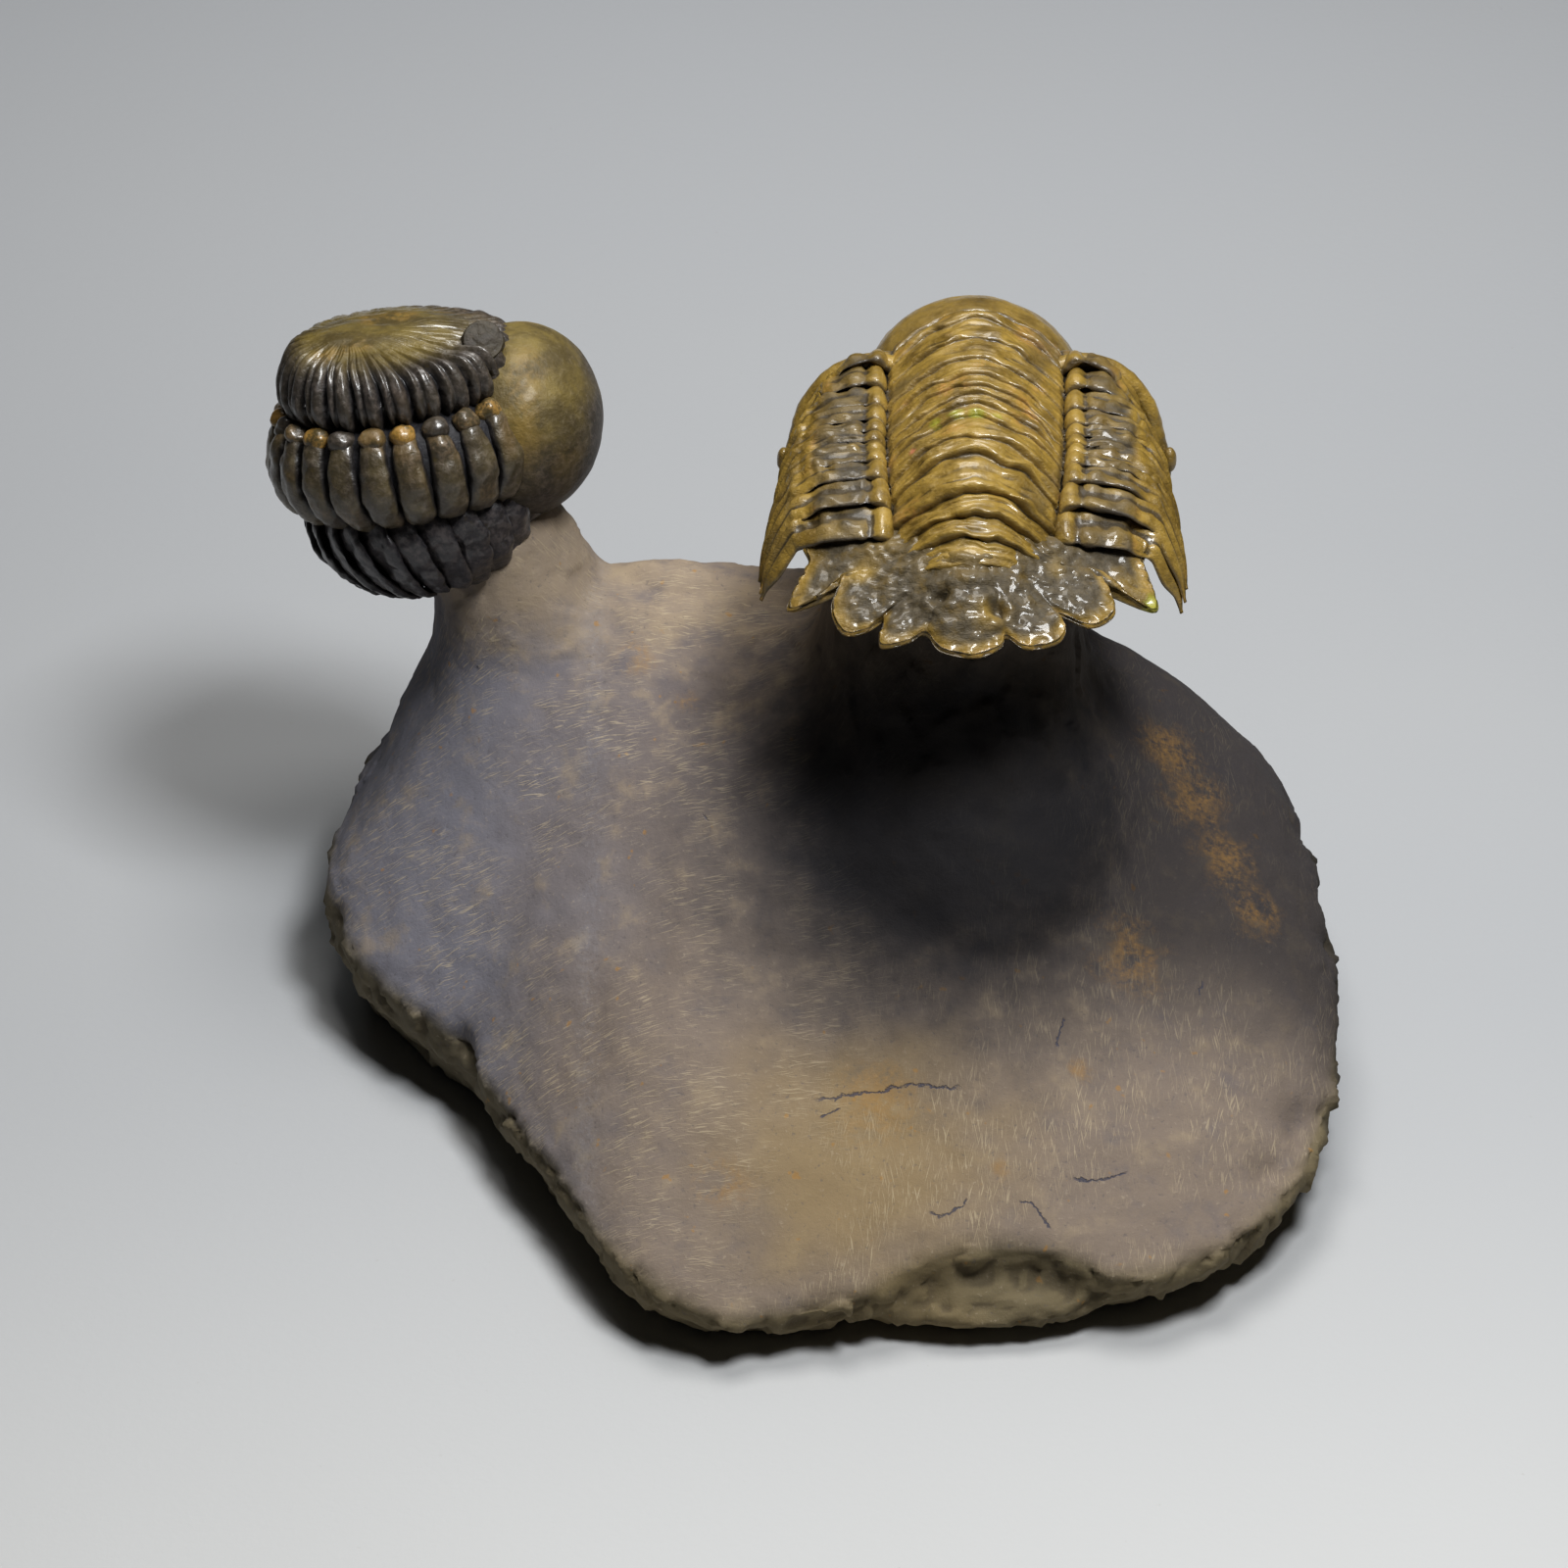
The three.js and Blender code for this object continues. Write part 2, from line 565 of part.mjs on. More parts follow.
// Rise of the block's top round the feet of the pedestals.
function footSwell(point) {
  let rise = 0;
  for (const foot of FOOT_SWELL) {
    const across = (point.x - foot.at[0]) / foot.half[0];
    const along = (point.y - foot.at[1]) / foot.half[1];
    const beyond = Math.max(Math.hypot(across, along) - 1, 0);
    rise += foot.rise * Math.exp(-beyond * foot.fade);
  }
  return rise;
}

function stoneBlock() {
  const ridgeMiddle = vector(RIDGE_LEFT).lerp(vector(RIDGE_RIGHT), 0.5);
  const ridgeHalf = (RIDGE_RIGHT[0] - RIDGE_LEFT[0]) / 2;
  const ridgeFall = (RIDGE_RIGHT[2] - RIDGE_LEFT[2]) / 2;
  const ridgeTurn = (RIDGE_RIGHT[1] - RIDGE_LEFT[1]) / 2;
  const rimPoint = (column) => rimCurve.getPoint((column % RIM_COLUMNS) / RIM_COLUMNS);
  const ridgePoint = (rim) => {
    const angle = Math.atan2((rim.y - ridgeMiddle.y) / RIDGE_STRETCH, rim.x - ridgeMiddle.x);
    const share = Math.cos(angle);
    const point = ridgeMiddle.clone();
    point.x += ridgeHalf * share;
    point.y += ridgeTurn * share + RIDGE_HALF_DEPTH * Math.sin(angle);
    point.z += ridgeFall * share;
    return point;
  };
  const domeRows = DOME_LEVELS.length;
  const rowCount = domeRows + SKIRT.length + 1;
  return ringBody(rowCount, RIM_COLUMNS, (row, column) => {
    if (row === 0) {
      return ridgeMiddle.clone();
    }
    if (row === rowCount) {
      return vector(BASE_MIDDLE);
    }
    const rim = rimPoint(column);
    if (row <= domeRows) {
      const level = DOME_LEVELS[row - 1];
      const point = rim.clone().lerp(ridgePoint(rim), level);
      const rise = 1 - Math.pow(1 - level, DOME_ROUNDNESS);
      point.z = THREE.MathUtils.lerp(rim.z, ridgePoint(rim).z, rise);
      if (level > 0) {
        const quick = Math.sin(column * FACET_QUICK.around + row * FACET_QUICK.down);
        const slow = Math.sin(column * FACET_SLOW.around - row * FACET_SLOW.down);
        point.z += footSwell(point) * Math.min(1, level * SWELL_BLEND);
        point.z += FACET_RELIEF * quick * slow;
      }
      return point;
    }
    const skirt = SKIRT[row - domeRows - 1];
    const point = vector(BASE_MIDDLE).lerp(rim, skirt.inset);
    point.z = rim.z * skirt.height;
    return point;
  });
}

function stoneBody() {
  const block = stoneBlock().subtract(domeOf(LEDGE_HOLLOW, 0)).add(domeOf(LEDGE_LUMP, 0));
  const whole = fuse([block, loft(LEFT_PEDESTAL, PEDESTAL_COLUMNS), loft(RIGHT_PEDESTAL, PEDESTAL_COLUMNS)]);
  const seats = [
    ringedShell(FIT_GAP, false),
    domeOf(GLABELLA, FIT_GAP),
    ...cheekBodies(FIT_GAP),
    rollBarrel(FIT_GAP, false),
    domeOf(ROLL_GLABELLA, FIT_GAP),
  ];
  return whole.subtract(fuse(seats));
}

function meshOf(name, solid, colour, roughness) {
  const result = solid.getMesh();
  const geometry = new THREE.BufferGeometry();
  geometry.setAttribute("position", new THREE.BufferAttribute(Float32Array.from(result.vertProperties), 3));
  geometry.setIndex(new THREE.BufferAttribute(Uint32Array.from(result.triVerts), 1));
  geometry.computeVertexNormals();
  const material = new THREE.MeshStandardMaterial({ color: colour, roughness, metalness: 0 });
  const mesh = new THREE.Mesh(geometry, material);
  mesh.name = name;
  return mesh;
}

function buildPlate() {
  const plate = new THREE.Group();
  plate.name = "trilobite_cluster_plate";
  plate.add(meshOf("matrix_stone", stoneBody(), STONE_COLOUR, 0.85));
  plate.add(meshOf("outstretched_trilobite", outstretchedBody(), FOSSIL_COLOUR, 0.45));
  plate.add(meshOf("enrolled_trilobite", rolledBody(), ROLLED_COLOUR, 0.45));
  const box = new THREE.Box3().setFromObject(plate);
  const middle = box.getCenter(new THREE.Vector3());
  for (const mesh of plate.children) {
    mesh.geometry.translate(-middle.x, -middle.y, -box.min.z);
  }
  return plate;
}

export default buildPlate();
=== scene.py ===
"""Trilobite cluster plate: a mudstone block with two rock pedestals, one with an outstretched
trilobite and one with a rolled-up trilobite.

Shapes are worked out in millimetres, in the block's own drawing frame, and placed in the
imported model's frame when a mesh is made.
"""

import math
from functools import reduce
from itertools import product

import bpy
import numpy as np
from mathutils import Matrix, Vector


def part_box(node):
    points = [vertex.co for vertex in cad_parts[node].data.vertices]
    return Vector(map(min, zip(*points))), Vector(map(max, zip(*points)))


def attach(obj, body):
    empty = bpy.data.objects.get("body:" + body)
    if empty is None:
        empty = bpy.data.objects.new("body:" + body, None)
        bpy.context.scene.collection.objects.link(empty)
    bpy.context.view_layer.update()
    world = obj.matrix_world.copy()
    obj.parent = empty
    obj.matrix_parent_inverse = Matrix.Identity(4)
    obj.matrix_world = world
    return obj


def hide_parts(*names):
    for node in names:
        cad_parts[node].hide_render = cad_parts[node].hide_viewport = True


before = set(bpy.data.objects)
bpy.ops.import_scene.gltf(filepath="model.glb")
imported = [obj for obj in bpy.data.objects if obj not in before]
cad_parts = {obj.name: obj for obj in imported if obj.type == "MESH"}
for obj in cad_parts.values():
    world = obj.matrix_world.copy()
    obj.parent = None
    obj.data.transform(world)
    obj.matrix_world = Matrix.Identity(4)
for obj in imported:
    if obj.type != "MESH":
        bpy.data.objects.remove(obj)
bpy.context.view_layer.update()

bl_info = {
    "name": "Trilobite Cluster Plate",
    "version": (1, 0, 0),
    "blender": (4, 5, 0),
    "location": "View3D > Sidebar > Fossil",
    "description": "Builds a mudstone block with an outstretched and a rolled-up trilobite",
    "category": "Object",
}

# One millimetre in metres, the row's only body, and its three nodes.
MM = 0.001
BODY = "root"
STONE = "matrix_stone"
OUTSTRETCHED = "outstretched_trilobite"
ROLLED = "enrolled_trilobite"

# The block's drawing frame has its leftmost rim point and its front edge here, in millimetres.
RIM_LEFT = -43.4
RIM_FRONT = -47.8
PLACE = np.array([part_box(STONE)[0][0] / MM - RIM_LEFT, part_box(STONE)[0][1] / MM - RIM_FRONT, 0.0])


# Shape helpers.

# A full turn in radians.
TURN = 2.0 * math.pi

# Whole numbers that stir a cell's place and a seed into a number that looks random.
CELL_FACTORS = (73856093, 19349663, 83492791)
SEED_FACTOR = 2654435
STIR_FACTOR = 1274126177
LOW_32_BITS = 0xFFFFFFFF
LOW_16_BITS = 0xFFFF


def smooth(low, high, value):
    """Rises from 0 at low to 1 at high as 3 t^2 - 2 t^3, where t is the share of the way."""
    share = np.clip((value - low) / (high - low), 0.0, 1.0)
    return share * share * (3.0 - 2.0 * share)


def hill(distance, width):
    """Bell curve, e to the power -(distance / width)^2: 1 at distance 0, about a third at one width."""
    return np.exp(-np.square(distance / width))


def mix(first, second, share):
    """Straight blend: first + (second - first) * share."""
    return first + (second - first) * share


def along(points, place, closed=False):
    """Smooth line through points, read at place: 0 is the first point, 1 the next, and so on.

    Between two points it is the cubic whose slope at each is half the step between that point's neighbours.
    """
    points = np.asarray(points, float)
    place = np.asarray(place, float)
    count = len(points)
    if not closed:
        place = np.clip(place, 0.0, count - 1.0)
    base = np.floor(place).astype(int)
    if not closed:
        base = np.minimum(base, count - 2)
    share = (place - base).reshape(place.shape + (1,) * (points.ndim - 1))

    def pick(step):
        """The point this many steps on from the start of each stretch."""
        index = base + step
        return points[index % count if closed else np.clip(index, 0, count - 1)]

    before, start, end, after = pick(-1), pick(0), pick(1), pick(2)
    return 0.5 * (
        2.0 * start
        + (end - before) * share
        + (2.0 * before - 5.0 * start + 4.0 * end - after) * share ** 2
        + (3.0 * start - before - 3.0 * end + after) * share ** 3
    )


def walked(points, count):
    """Smooth line through points, read at this many even places from its first point to its last."""
    return along(points, np.linspace(0.0, len(points) - 1.0, count))


def round_angles(count):
    """This many even angles once round."""
    return np.linspace(0.0, TURN, count, endpoint=False)


def unit(vectors):
    """Vectors divided by their length."""
    return vectors / np.linalg.norm(vectors, axis=-1, keepdims=True)


def lattice(cell, seed):
    """Repeatable number from 0 to 1 for each whole-number cell: products joined bit by bit, then stirred."""
    value = (seed + 1) * SEED_FACTOR
    for axis in range(3):
        value = value ^ cell[..., axis] * CELL_FACTORS[axis]
    value = (value ^ (value >> 13)) & LOW_32_BITS
    value = (value * STIR_FACTOR) & LOW_32_BITS
    return ((value ^ (value >> 16)) & LOW_16_BITS) / LOW_16_BITS


def cloud(points, size, seed=0):
    """Smooth noise from -1 to 1: corner values of cubes of this size, blended inside each cube."""
    scaled = points / size
    base = np.floor(scaled).astype(np.int64)
    share = scaled - base
    share = share * share * (3.0 - 2.0 * share)
    total = np.zeros(points.shape[:-1])
    for corner in product((0, 1), repeat=3):
        weight = np.prod(np.where(np.array(corner) == 1, share, 1.0 - share), axis=-1)
        total += weight * lattice(base + np.array(corner), seed)
    return total * 2.0 - 1.0


def rough(points, size, seed=0, layers=3):
    """Noise in layers, each half the size and half the height of the one before."""
    total = np.zeros(points.shape[:-1])
    for layer in range(layers):
        total += cloud(points, size / 2 ** layer, seed + layer) / 2 ** layer
    return total


def grained(points, *layers):
    """Sum of layered noises, each with its height, size, first seed and number of layers."""
    return sum(height * rough(points, size, seed, count) for height, size, seed, count in layers)


def raised(place, hills):
    """Sum of bell curves along a line, each with its middle, width and height."""
    return sum(height * hill(place - middle, width) for middle, width, height in hills)


def chips(points, size, seed=0):
    """Broken facets: each point belongs to its nearest random seed point, which tilts its own plane.

    The height is the offset from that seed point times the plane's tilt, plus a step of the plane's own.
    """
    scaled = points / size
    base = np.floor(scaled).astype(np.int64)
    nearest = np.full(points.shape[:-1], np.inf)
    height = np.zeros(points.shape[:-1])
    for corner in product((-1, 0, 1), repeat=3):
        cell = base + np.array(corner)
        jitter = np.stack([lattice(cell, seed + axis) for axis in range(3)], axis=-1)
        offset = scaled - (cell + jitter)
        distance = np.einsum("...i,...i->...", offset, offset)
        tilt = np.stack([lattice(cell, seed + 3 + axis) for axis in range(3)], axis=-1) * 2.0 - 1.0
        plane = np.einsum("...i,...i->...", offset, tilt) + 0.5 * (lattice(cell, seed + 7) - 0.5)
        closer = distance < nearest
        nearest = np.where(closer, distance, nearest)
        height = np.where(closer, plane, height)
    return height


# Meshes.

class Body:
    """Points, faces and painted marks of one piece, gathered skin by skin."""

    MARKS = ("slate", "furrow", "warm", "matt")

    def __init__(self):
        self.points = []
        self.quads = []
        self.triangles = []
        self.marks = {name: [] for name in self.MARKS}
        self.count = 0

    def skin(self, rows, **marks):
        """Closed skin: rows of points that run round, with the middle of each end row as a cap."""
        row_count, column_count = rows.shape[:2]
        size = row_count * column_count
        index = np.arange(size).reshape(row_count, column_count)
        right = np.roll(index, -1, axis=1)
        quads = np.stack([index[:-1], right[:-1], right[1:], index[1:]], axis=-1).reshape(-1, 4)
        start = np.stack([np.full(column_count, size), right[0], index[0]], axis=-1)
        end = np.stack([np.full(column_count, size + 1), index[-1], right[-1]], axis=-1)
        triangles = np.concatenate([start, end])
        points = np.concatenate([rows.reshape(-1, 3), [rows[0].mean(0)], [rows[-1].mean(0)]])
        split = np.concatenate([quads[:, [0, 1, 2]], quads[:, [0, 2, 3]], triangles])
        corners = points[split] - points.mean(0)
        volume = np.einsum("ij,ij->i", corners[:, 0], np.cross(corners[:, 1], corners[:, 2])).sum()
        if volume < 0.0:
            quads = quads[:, ::-1]
            triangles = triangles[:, ::-1]
        self.points.append(points)
        self.quads.append(quads + self.count)
        self.triangles.append(triangles + self.count)
        for name in self.MARKS:
            value = np.broadcast_to(np.asarray(marks.get(name, 0.0), float), (row_count, column_count))
            ends = [value[0].mean(), value[-1].mean()]
            self.marks[name].append(np.concatenate([value.ravel(), ends]))
        self.count += len(points)

    def make(self, name, finish, node):
        """The piece as an object that rides on the model and stands for a node."""
        points = np.concatenate(self.points)
        quads = np.concatenate(self.quads)
        triangles = np.concatenate(self.triangles)
        marks = {key: np.concatenate(value) for key, value in self.marks.items()}
        mesh = mesh_of(name, points, quads, triangles)
        return place_piece(name, mesh, finish, node, marks)


def mesh_of(name, points, quads, triangles):
    """Mesh with smooth faces from points in millimetres of the drawing frame."""
    mesh = bpy.data.meshes.new(name)
    mesh.vertices.add(len(points))
    mesh.vertices.foreach_set("co", ((points + PLACE) * MM).astype(np.float32).ravel())
    corners = np.concatenate([quads.ravel(), triangles.ravel()]).astype(np.int32)
    sizes = np.concatenate([np.full(len(quads), 4), np.full(len(triangles), 3)]).astype(np.int32)
    mesh.loops.add(len(corners))
    mesh.loops.foreach_set("vertex_index", corners)
    mesh.polygons.add(len(sizes))
    mesh.polygons.foreach_set("loop_start", np.concatenate([[0], np.cumsum(sizes)[:-1]]).astype(np.int32))
    mesh.polygons.foreach_set("use_smooth", np.ones(len(sizes), bool))
    mesh.update(calc_edges=True)
    mesh.validate()
    return mesh


def points_of(mesh):
    """A mesh's points, in millimetres of the drawing frame."""
    flat = np.empty(len(mesh.vertices) * 3, np.float32)
    mesh.vertices.foreach_get("co", flat)
    return flat.reshape(-1, 3).astype(float) / MM - PLACE


def normals_of(mesh):
    """A mesh's outward direction at each point."""
    flat = np.empty(len(mesh.vertices) * 3, np.float32)
    mesh.vertex_normals.foreach_get("vector", flat)
    return flat.reshape(-1, 3).astype(float)


def edges_of(mesh):
    """Both ends of every edge of a mesh."""
    flat = np.empty(len(mesh.edges) * 2, np.int32)
    mesh.edges.foreach_get("vertices", flat)
    return flat.reshape(-1, 2)


def neighbour_mean(values, edges):
    """Mean of each point's neighbours, for one number or several at each point."""
    columns = values.reshape(len(values), -1)
    near = np.bincount(edges.ravel(), minlength=len(values)).astype(float)
    near = np.maximum(near, 1.0)
    total = np.empty_like(columns)
    for column in range(columns.shape[1]):
        first = np.bincount(edges[:, 0], weights=columns[edges[:, 1], column], minlength=len(values))
        second = np.bincount(edges[:, 1], weights=columns[edges[:, 0], column], minlength=len(values))
        total[:, column] = (first + second) / near
    return total.reshape(values.shape)


def hollows(mesh, spread=2):
    """How far each point lies under its neighbours, in millimetres: positive in a crevice."""
    points = points_of(mesh)
    edges = edges_of(mesh)
    depth = np.einsum("ij,ij->i", neighbour_mean(points, edges) - points, normals_of(mesh))
    for _ in range(spread):
        depth = 0.5 * depth + 0.5 * neighbour_mean(depth, edges)
    return depth


def mark(mesh, name, values):
    """Stores one number for each point of a mesh, for the finishes to read."""
    attribute = mesh.attributes.new(name, "FLOAT", "POINT")
    attribute.data.foreach_set("value", np.asarray(values, np.float32))


def place_piece(name, mesh, finish, node, marks):
    """Object for a mesh, with its marks, its finish, the body it rides on and the node it replaces."""
    for key, values in marks.items():
        mark(mesh, key, values)
    # Depth of each point below its neighbours, which the finishes darken as painted shade.
    mark(mesh, "hollow", hollows(mesh))
    piece = bpy.data.objects.new(name, mesh)
    bpy.context.scene.collection.objects.link(piece)
    mesh.materials.append(finish)
    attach(piece, BODY)
    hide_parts(node)
    return piece


# Finishes.

class Value:
    """A socket that reads as a number in an expression: each operator adds its Math node."""

    def __init__(self, finish, socket):
        self.finish = finish
        self.socket = socket

    def __add__(self, other):
        return self.finish.maths("ADD", self, other)

    def __radd__(self, other):
        return self.finish.maths("ADD", other, self)

    def __sub__(self, other):
        return self.finish.maths("SUBTRACT", self, other)

    def __rsub__(self, other):
        return self.finish.maths("SUBTRACT", other, self)

    def __mul__(self, other):
        return self.finish.maths("MULTIPLY", self, other)

    def __rmul__(self, other):
        return self.finish.maths("MULTIPLY", other, self)

    def distance(self):
        """The value without its sign."""
        return self.finish.maths("ABSOLUTE", self)

    def most(self, other):
        """The greater of two values."""
        return self.finish.maths("MAXIMUM", self, other)


class Finish:
    """One material, its nodes, the colour painted so far, and the patterns that the finishes share."""

    def __init__(self, name, ground, specular, coat_roughness=0.5):
        self.material = bpy.data.materials.new(name)
        self.material.use_nodes = True
        self.tree = self.material.node_tree
        self.tree.nodes.clear()
        self.shader = self.tree.nodes.new("ShaderNodeBsdfPrincipled")
        output = self.tree.nodes.new("ShaderNodeOutputMaterial")
        self.tree.links.new(self.shader.outputs[0], output.inputs[0])
        self.shader.inputs["Specular IOR Level"].default_value = specular
        self.shader.inputs["Coat Roughness"].default_value = coat_roughness
        self.ground = ground

    def node(self, kind, settings=None, sockets=None, output=0):
        """A node of a type, with its settings first and then its sockets' values or links."""
        node = self.tree.nodes.new(kind)
        for key, value in (settings or {}).items():
            setattr(node, key, value)
        for key, value in (sockets or {}).items():
            self.feed(node.inputs[key], value)
        return Value(self, node.outputs[output])

    def feed(self, target, value):
        """Links a value to a socket, or sets the socket to a number or a colour."""
        if isinstance(value, Value):
            self.tree.links.new(value.socket, target)
        else:
            target.default_value = value

    def maths(self, operation, *numbers):
        """Math node with its numbers in order."""
        return self.node("ShaderNodeMath", {"operation": operation}, dict(enumerate(numbers)))

    def place(self, origin=PLACE):
        """Position in millimetres from an origin, which is the drawing frame's on a piece."""
        spot = self.node("ShaderNodeTexCoord", output=3)
        scaled = self.node("ShaderNodeVectorMath", {"operation": "SCALE"}, {0: spot, 3: 1.0 / MM})
        return self.node("ShaderNodeVectorMath", {"operation": "SUBTRACT"}, {0: scaled, 1: tuple(origin)})

    def parts(self, vector):
        """The x, y and z of a vector, as three values."""
        return [self.node("ShaderNodeSeparateXYZ", None, {0: vector}, axis) for axis in range(3)]

    def stretched(self, vector, size, turn=0.0):
        """A position turned about z, then divided by a size along each axis, to draw a pattern out."""
        turned = self.node("ShaderNodeMapping", {"vector_type": "POINT"}, {0: vector, 2: (0.0, 0.0, turn)})
        scale = tuple(1.0 / value for value in size)
        return self.node("ShaderNodeVectorMath", {"operation": "MULTIPLY"}, {0: turned, 1: scale})

    def noise(self, vector, size=1.0, detail=2.0, roughness=0.5, distortion=0.0):
        """Noise from 0 to 1 whose patches are about this size."""
        sockets = {
            "Vector": vector,
            "Scale": 1.0 / size,
            "Detail": detail,
            "Roughness": roughness,
            "Distortion": distortion,
        }
        return self.node("ShaderNodeTexNoise", None, sockets)

    def rise(self, value, low, high):
        """From 0 at low to 1 at high along a smooth S."""
        settings = {"interpolation_type": "SMOOTHSTEP"}
        return self.node("ShaderNodeMapRange", settings, {0: value, 1: low, 2: high})

    def mark(self, name):
        """A number that is painted on the piece's points."""
        return self.node("ShaderNodeAttribute", {"attribute_name": name}, None, 2)

    def blend(self, factor, first, second):
        """Colour that goes from first to second as the factor goes from 0 to 1."""
        settings = {"data_type": "RGBA", "clamp_factor": True}
        return self.node("ShaderNodeMix", settings, {0: factor, 6: first, 7: second}, 2)

    def paint(self, factor, tint):
        """Lays a colour over the ground: all of it where the factor is 1, none where it is 0."""
        self.ground = self.blend(factor, self.ground, tint)

    def far(self, vector, centre):
        """Distance from a centre in millimetres."""
        return self.node("ShaderNodeVectorMath", {"operation": "DISTANCE"}, {0: vector, 1: centre}, 1)

    def bump(self, height, distance, strength):
        """Bump for the shader's Normal from a height."""
        sockets = {"Strength": strength, "Distance": distance, "Height": height}
        return self.node("ShaderNodeBump", None, sockets)

    def done(self, roughness, normal, coat=0.0):
        """Links the ground, roughness, bump and coat to the shader and gives the material."""
        self.feed(self.shader.inputs["Coat Weight"], coat)
        self.feed(self.shader.inputs["Base Color"], self.ground)
        self.feed(self.shader.inputs["Roughness"], roughness)
        self.feed(self.shader.inputs["Normal"], normal)
        return self.material


def colour(red, green, blue):
    """Opaque colour for a socket."""
    return (red, green, blue, 1.0)


# Stone block.

# Rim of the block, round its outline from the left: x, y and height.
RIM = [
    (-42.5, 7.4, 13.0), (-43.4, -0.9, 12.0), (-42.6, -4.3, 11.0), (-39.3, -9.7, 9.5),
    (-34.1, -14.9, 8.5), (-30.6, -18.7, 8.0), (-28.8, -22.4, 8.0), (-26.1, -27.9, 8.0),
    (-22.6, -33.8, 8.0), (-19.2, -40.1, 7.5), (-16.0, -44.1, 7.0), (-12.0, -47.0, 6.0),
    (-8.2, -47.8, 5.0), (-3.5, -47.4, 5.0), (2.7, -46.0, 5.8), (7.5, -43.8, 7.4),
    (13.0, -42.8, 8.0), (19.0, -43.2, 7.4), (24.0, -44.6, 6.4), (31.0, -42.3, 6.8),
    (36.1, -37.3, 7.0), (40.5, -30.8, 8.0), (42.6, -23.0, 9.5), (43.7, -14.5, 11.0),
    (43.2, -5.0, 13.0), (42.2, 4.0, 13.8), (39.0, 14.0, 13.0), (32.0, 24.0, 12.0),
    (20.0, 32.0, 12.5), (5.0, 36.0, 12.0), (-10.0, 36.5, 12.0), (-24.0, 33.5, 12.0),
    (-34.0, 26.0, 12.5), (-40.0, 17.0, 13.0),
]
RIDGE_LEFT = np.array([-22.0, 16.0, 29.6])
RIDGE_RIGHT = np.array([29.5, 11.5, 24.4])
RIDGE_HALF_DEPTH = 3.0
DOME_ROUNDNESS = 1.55
BASE_MIDDLE = np.array([0.0, -4.0, 0.0])

# Undercut side, from the rim down: share of the rim's reach, share of its height.
SKIRT = [(1.0, 1.0), (0.985, 0.62), (0.95, 0.3), (0.915, 0.06), (0.9, 0.0)]

# Pedestals, from the top down: centre x, y, z, then half width and half depth.
LEFT_PEDESTAL = [
    (-29.2, 18.4, 41.5, 5.2, 5.4), (-28.0, 18.0, 37.0, 6.7, 6.6), (-26.6, 17.4, 32.0, 7.8, 7.9),
    (-25.6, 16.4, 28.0, 8.6, 9.4), (-24.6, 15.0, 24.0, 10.4, 12.2), (-24.4, 13.4, 18.0, 14.0, 16.0),
]
RIGHT_PEDESTAL = [
    (11.8, 8.2, 50.2, 9.4, 12.0), (11.4, 7.6, 45.0, 10.0, 12.6), (10.8, 6.8, 39.0, 10.5, 13.3),
    (10.5, 5.6, 34.0, 11.6, 15.0), (10.6, 4.4, 29.5, 13.6, 17.7), (10.8, 3.2, 25.5, 16.2, 20.6),
    (10.8, 2.4, 19.0, 19.6, 23.6),
]

# Swells round the pedestals' feet: middle, half sizes, height and how fast it dies away.
FOOT_SWELLS = [
    ((-24.6, 14.8), (9.6, 11.6), 2.4, 2.2),
    ((-8.0, 18.0), (7.0, 4.0), 2.9, 1.7),
    ((10.8, 3.4), (14.6, 18.8), 4.4, 3.0),
]

# Broken ledge in front: middle and half sizes of the lump of rock, and of the recess under it. Points
# behind the last line stay where they are.
LEDGE_LUMP = ((13.0, -38.6, 2.7), (13.0, 7.6, 2.7))
LEDGE_HOLLOW = ((2.0, -49.5, 3.2), (7.5, 4.0, 2.4))
LEDGE_BACK = -34.0

# Dents in the rim: place, width and depth.
RIM_DENTS = [
    ((-31.2, -17.6, 8.6), 1.5, 1.3), ((-30.3, -19.6, 7.2), 1.0, 1.1), ((39.4, -28.8, 9.6), 2.4, 1.3),
    ((36.0, -33.6, 8.4), 1.8, 0.8), ((41.6, 3.0, 15.6), 1.4, 0.7), ((43.0, -9.0, 12.6), 1.2, 0.7),
    ((-42.4, -3.6, 11.0), 1.6, 0.9), ((33.5, 20.0, 15.2), 3.0, 1.2), ((-22.0, 33.0, 12.4), 3.4, 1.4),
    ((6.0, 34.0, 12.6), 3.0, 1.0),
]

# Waves round a pedestal: how many, their share of the radius, and their turn in radians a millimetre.
PEDESTAL_WAVES = [(2.0, 0.03, 0.12), (5.0, 0.02, -0.2)]

# Noise on the stone: height, size of a patch, seed and number of layers.
BROAD_WAVES = [(0.42, 13.0, 1, 1), (0.2, 5.5, 2, 1)]
WORN_GRAIN = [(0.11, 2.4, 3, 3), (0.035, 0.8, 9, 1)]

# How much the rays from ridge to rim are spread towards the front and back, how quickly the feet's swells
# start at the rim, and how small the hole is that closes a sole or a pole.
RAY_STRETCH = 1.2
FOOT_START = 4.0
SOLE_HOLE = 0.02
POLE_GAP = 0.02

# Readings round the rim, rounds of wear on the fused rock, and the height under which the sole is flat.
RIM_READINGS = 720
WEAR_ROUNDS = 30
SOLE_FLAT = 0.25


def foot_swell(points):
    """Rise round the feet of the pedestals: full inside each ellipse, dying away outside it.

    Outside, it is the height times e to the power -(share of the ellipse's reach - 1) * fade.
    """
    rise = np.zeros(points.shape[:-1])
    for centre, half, height, fade in FOOT_SWELLS:
        across = (points[..., 0] - centre[0]) / half[0]
        back = (points[..., 1] - centre[1]) / half[1]
        rise += height * np.exp(-np.maximum(np.hypot(across, back) - 1.0, 0.0) * fade)
    return rise


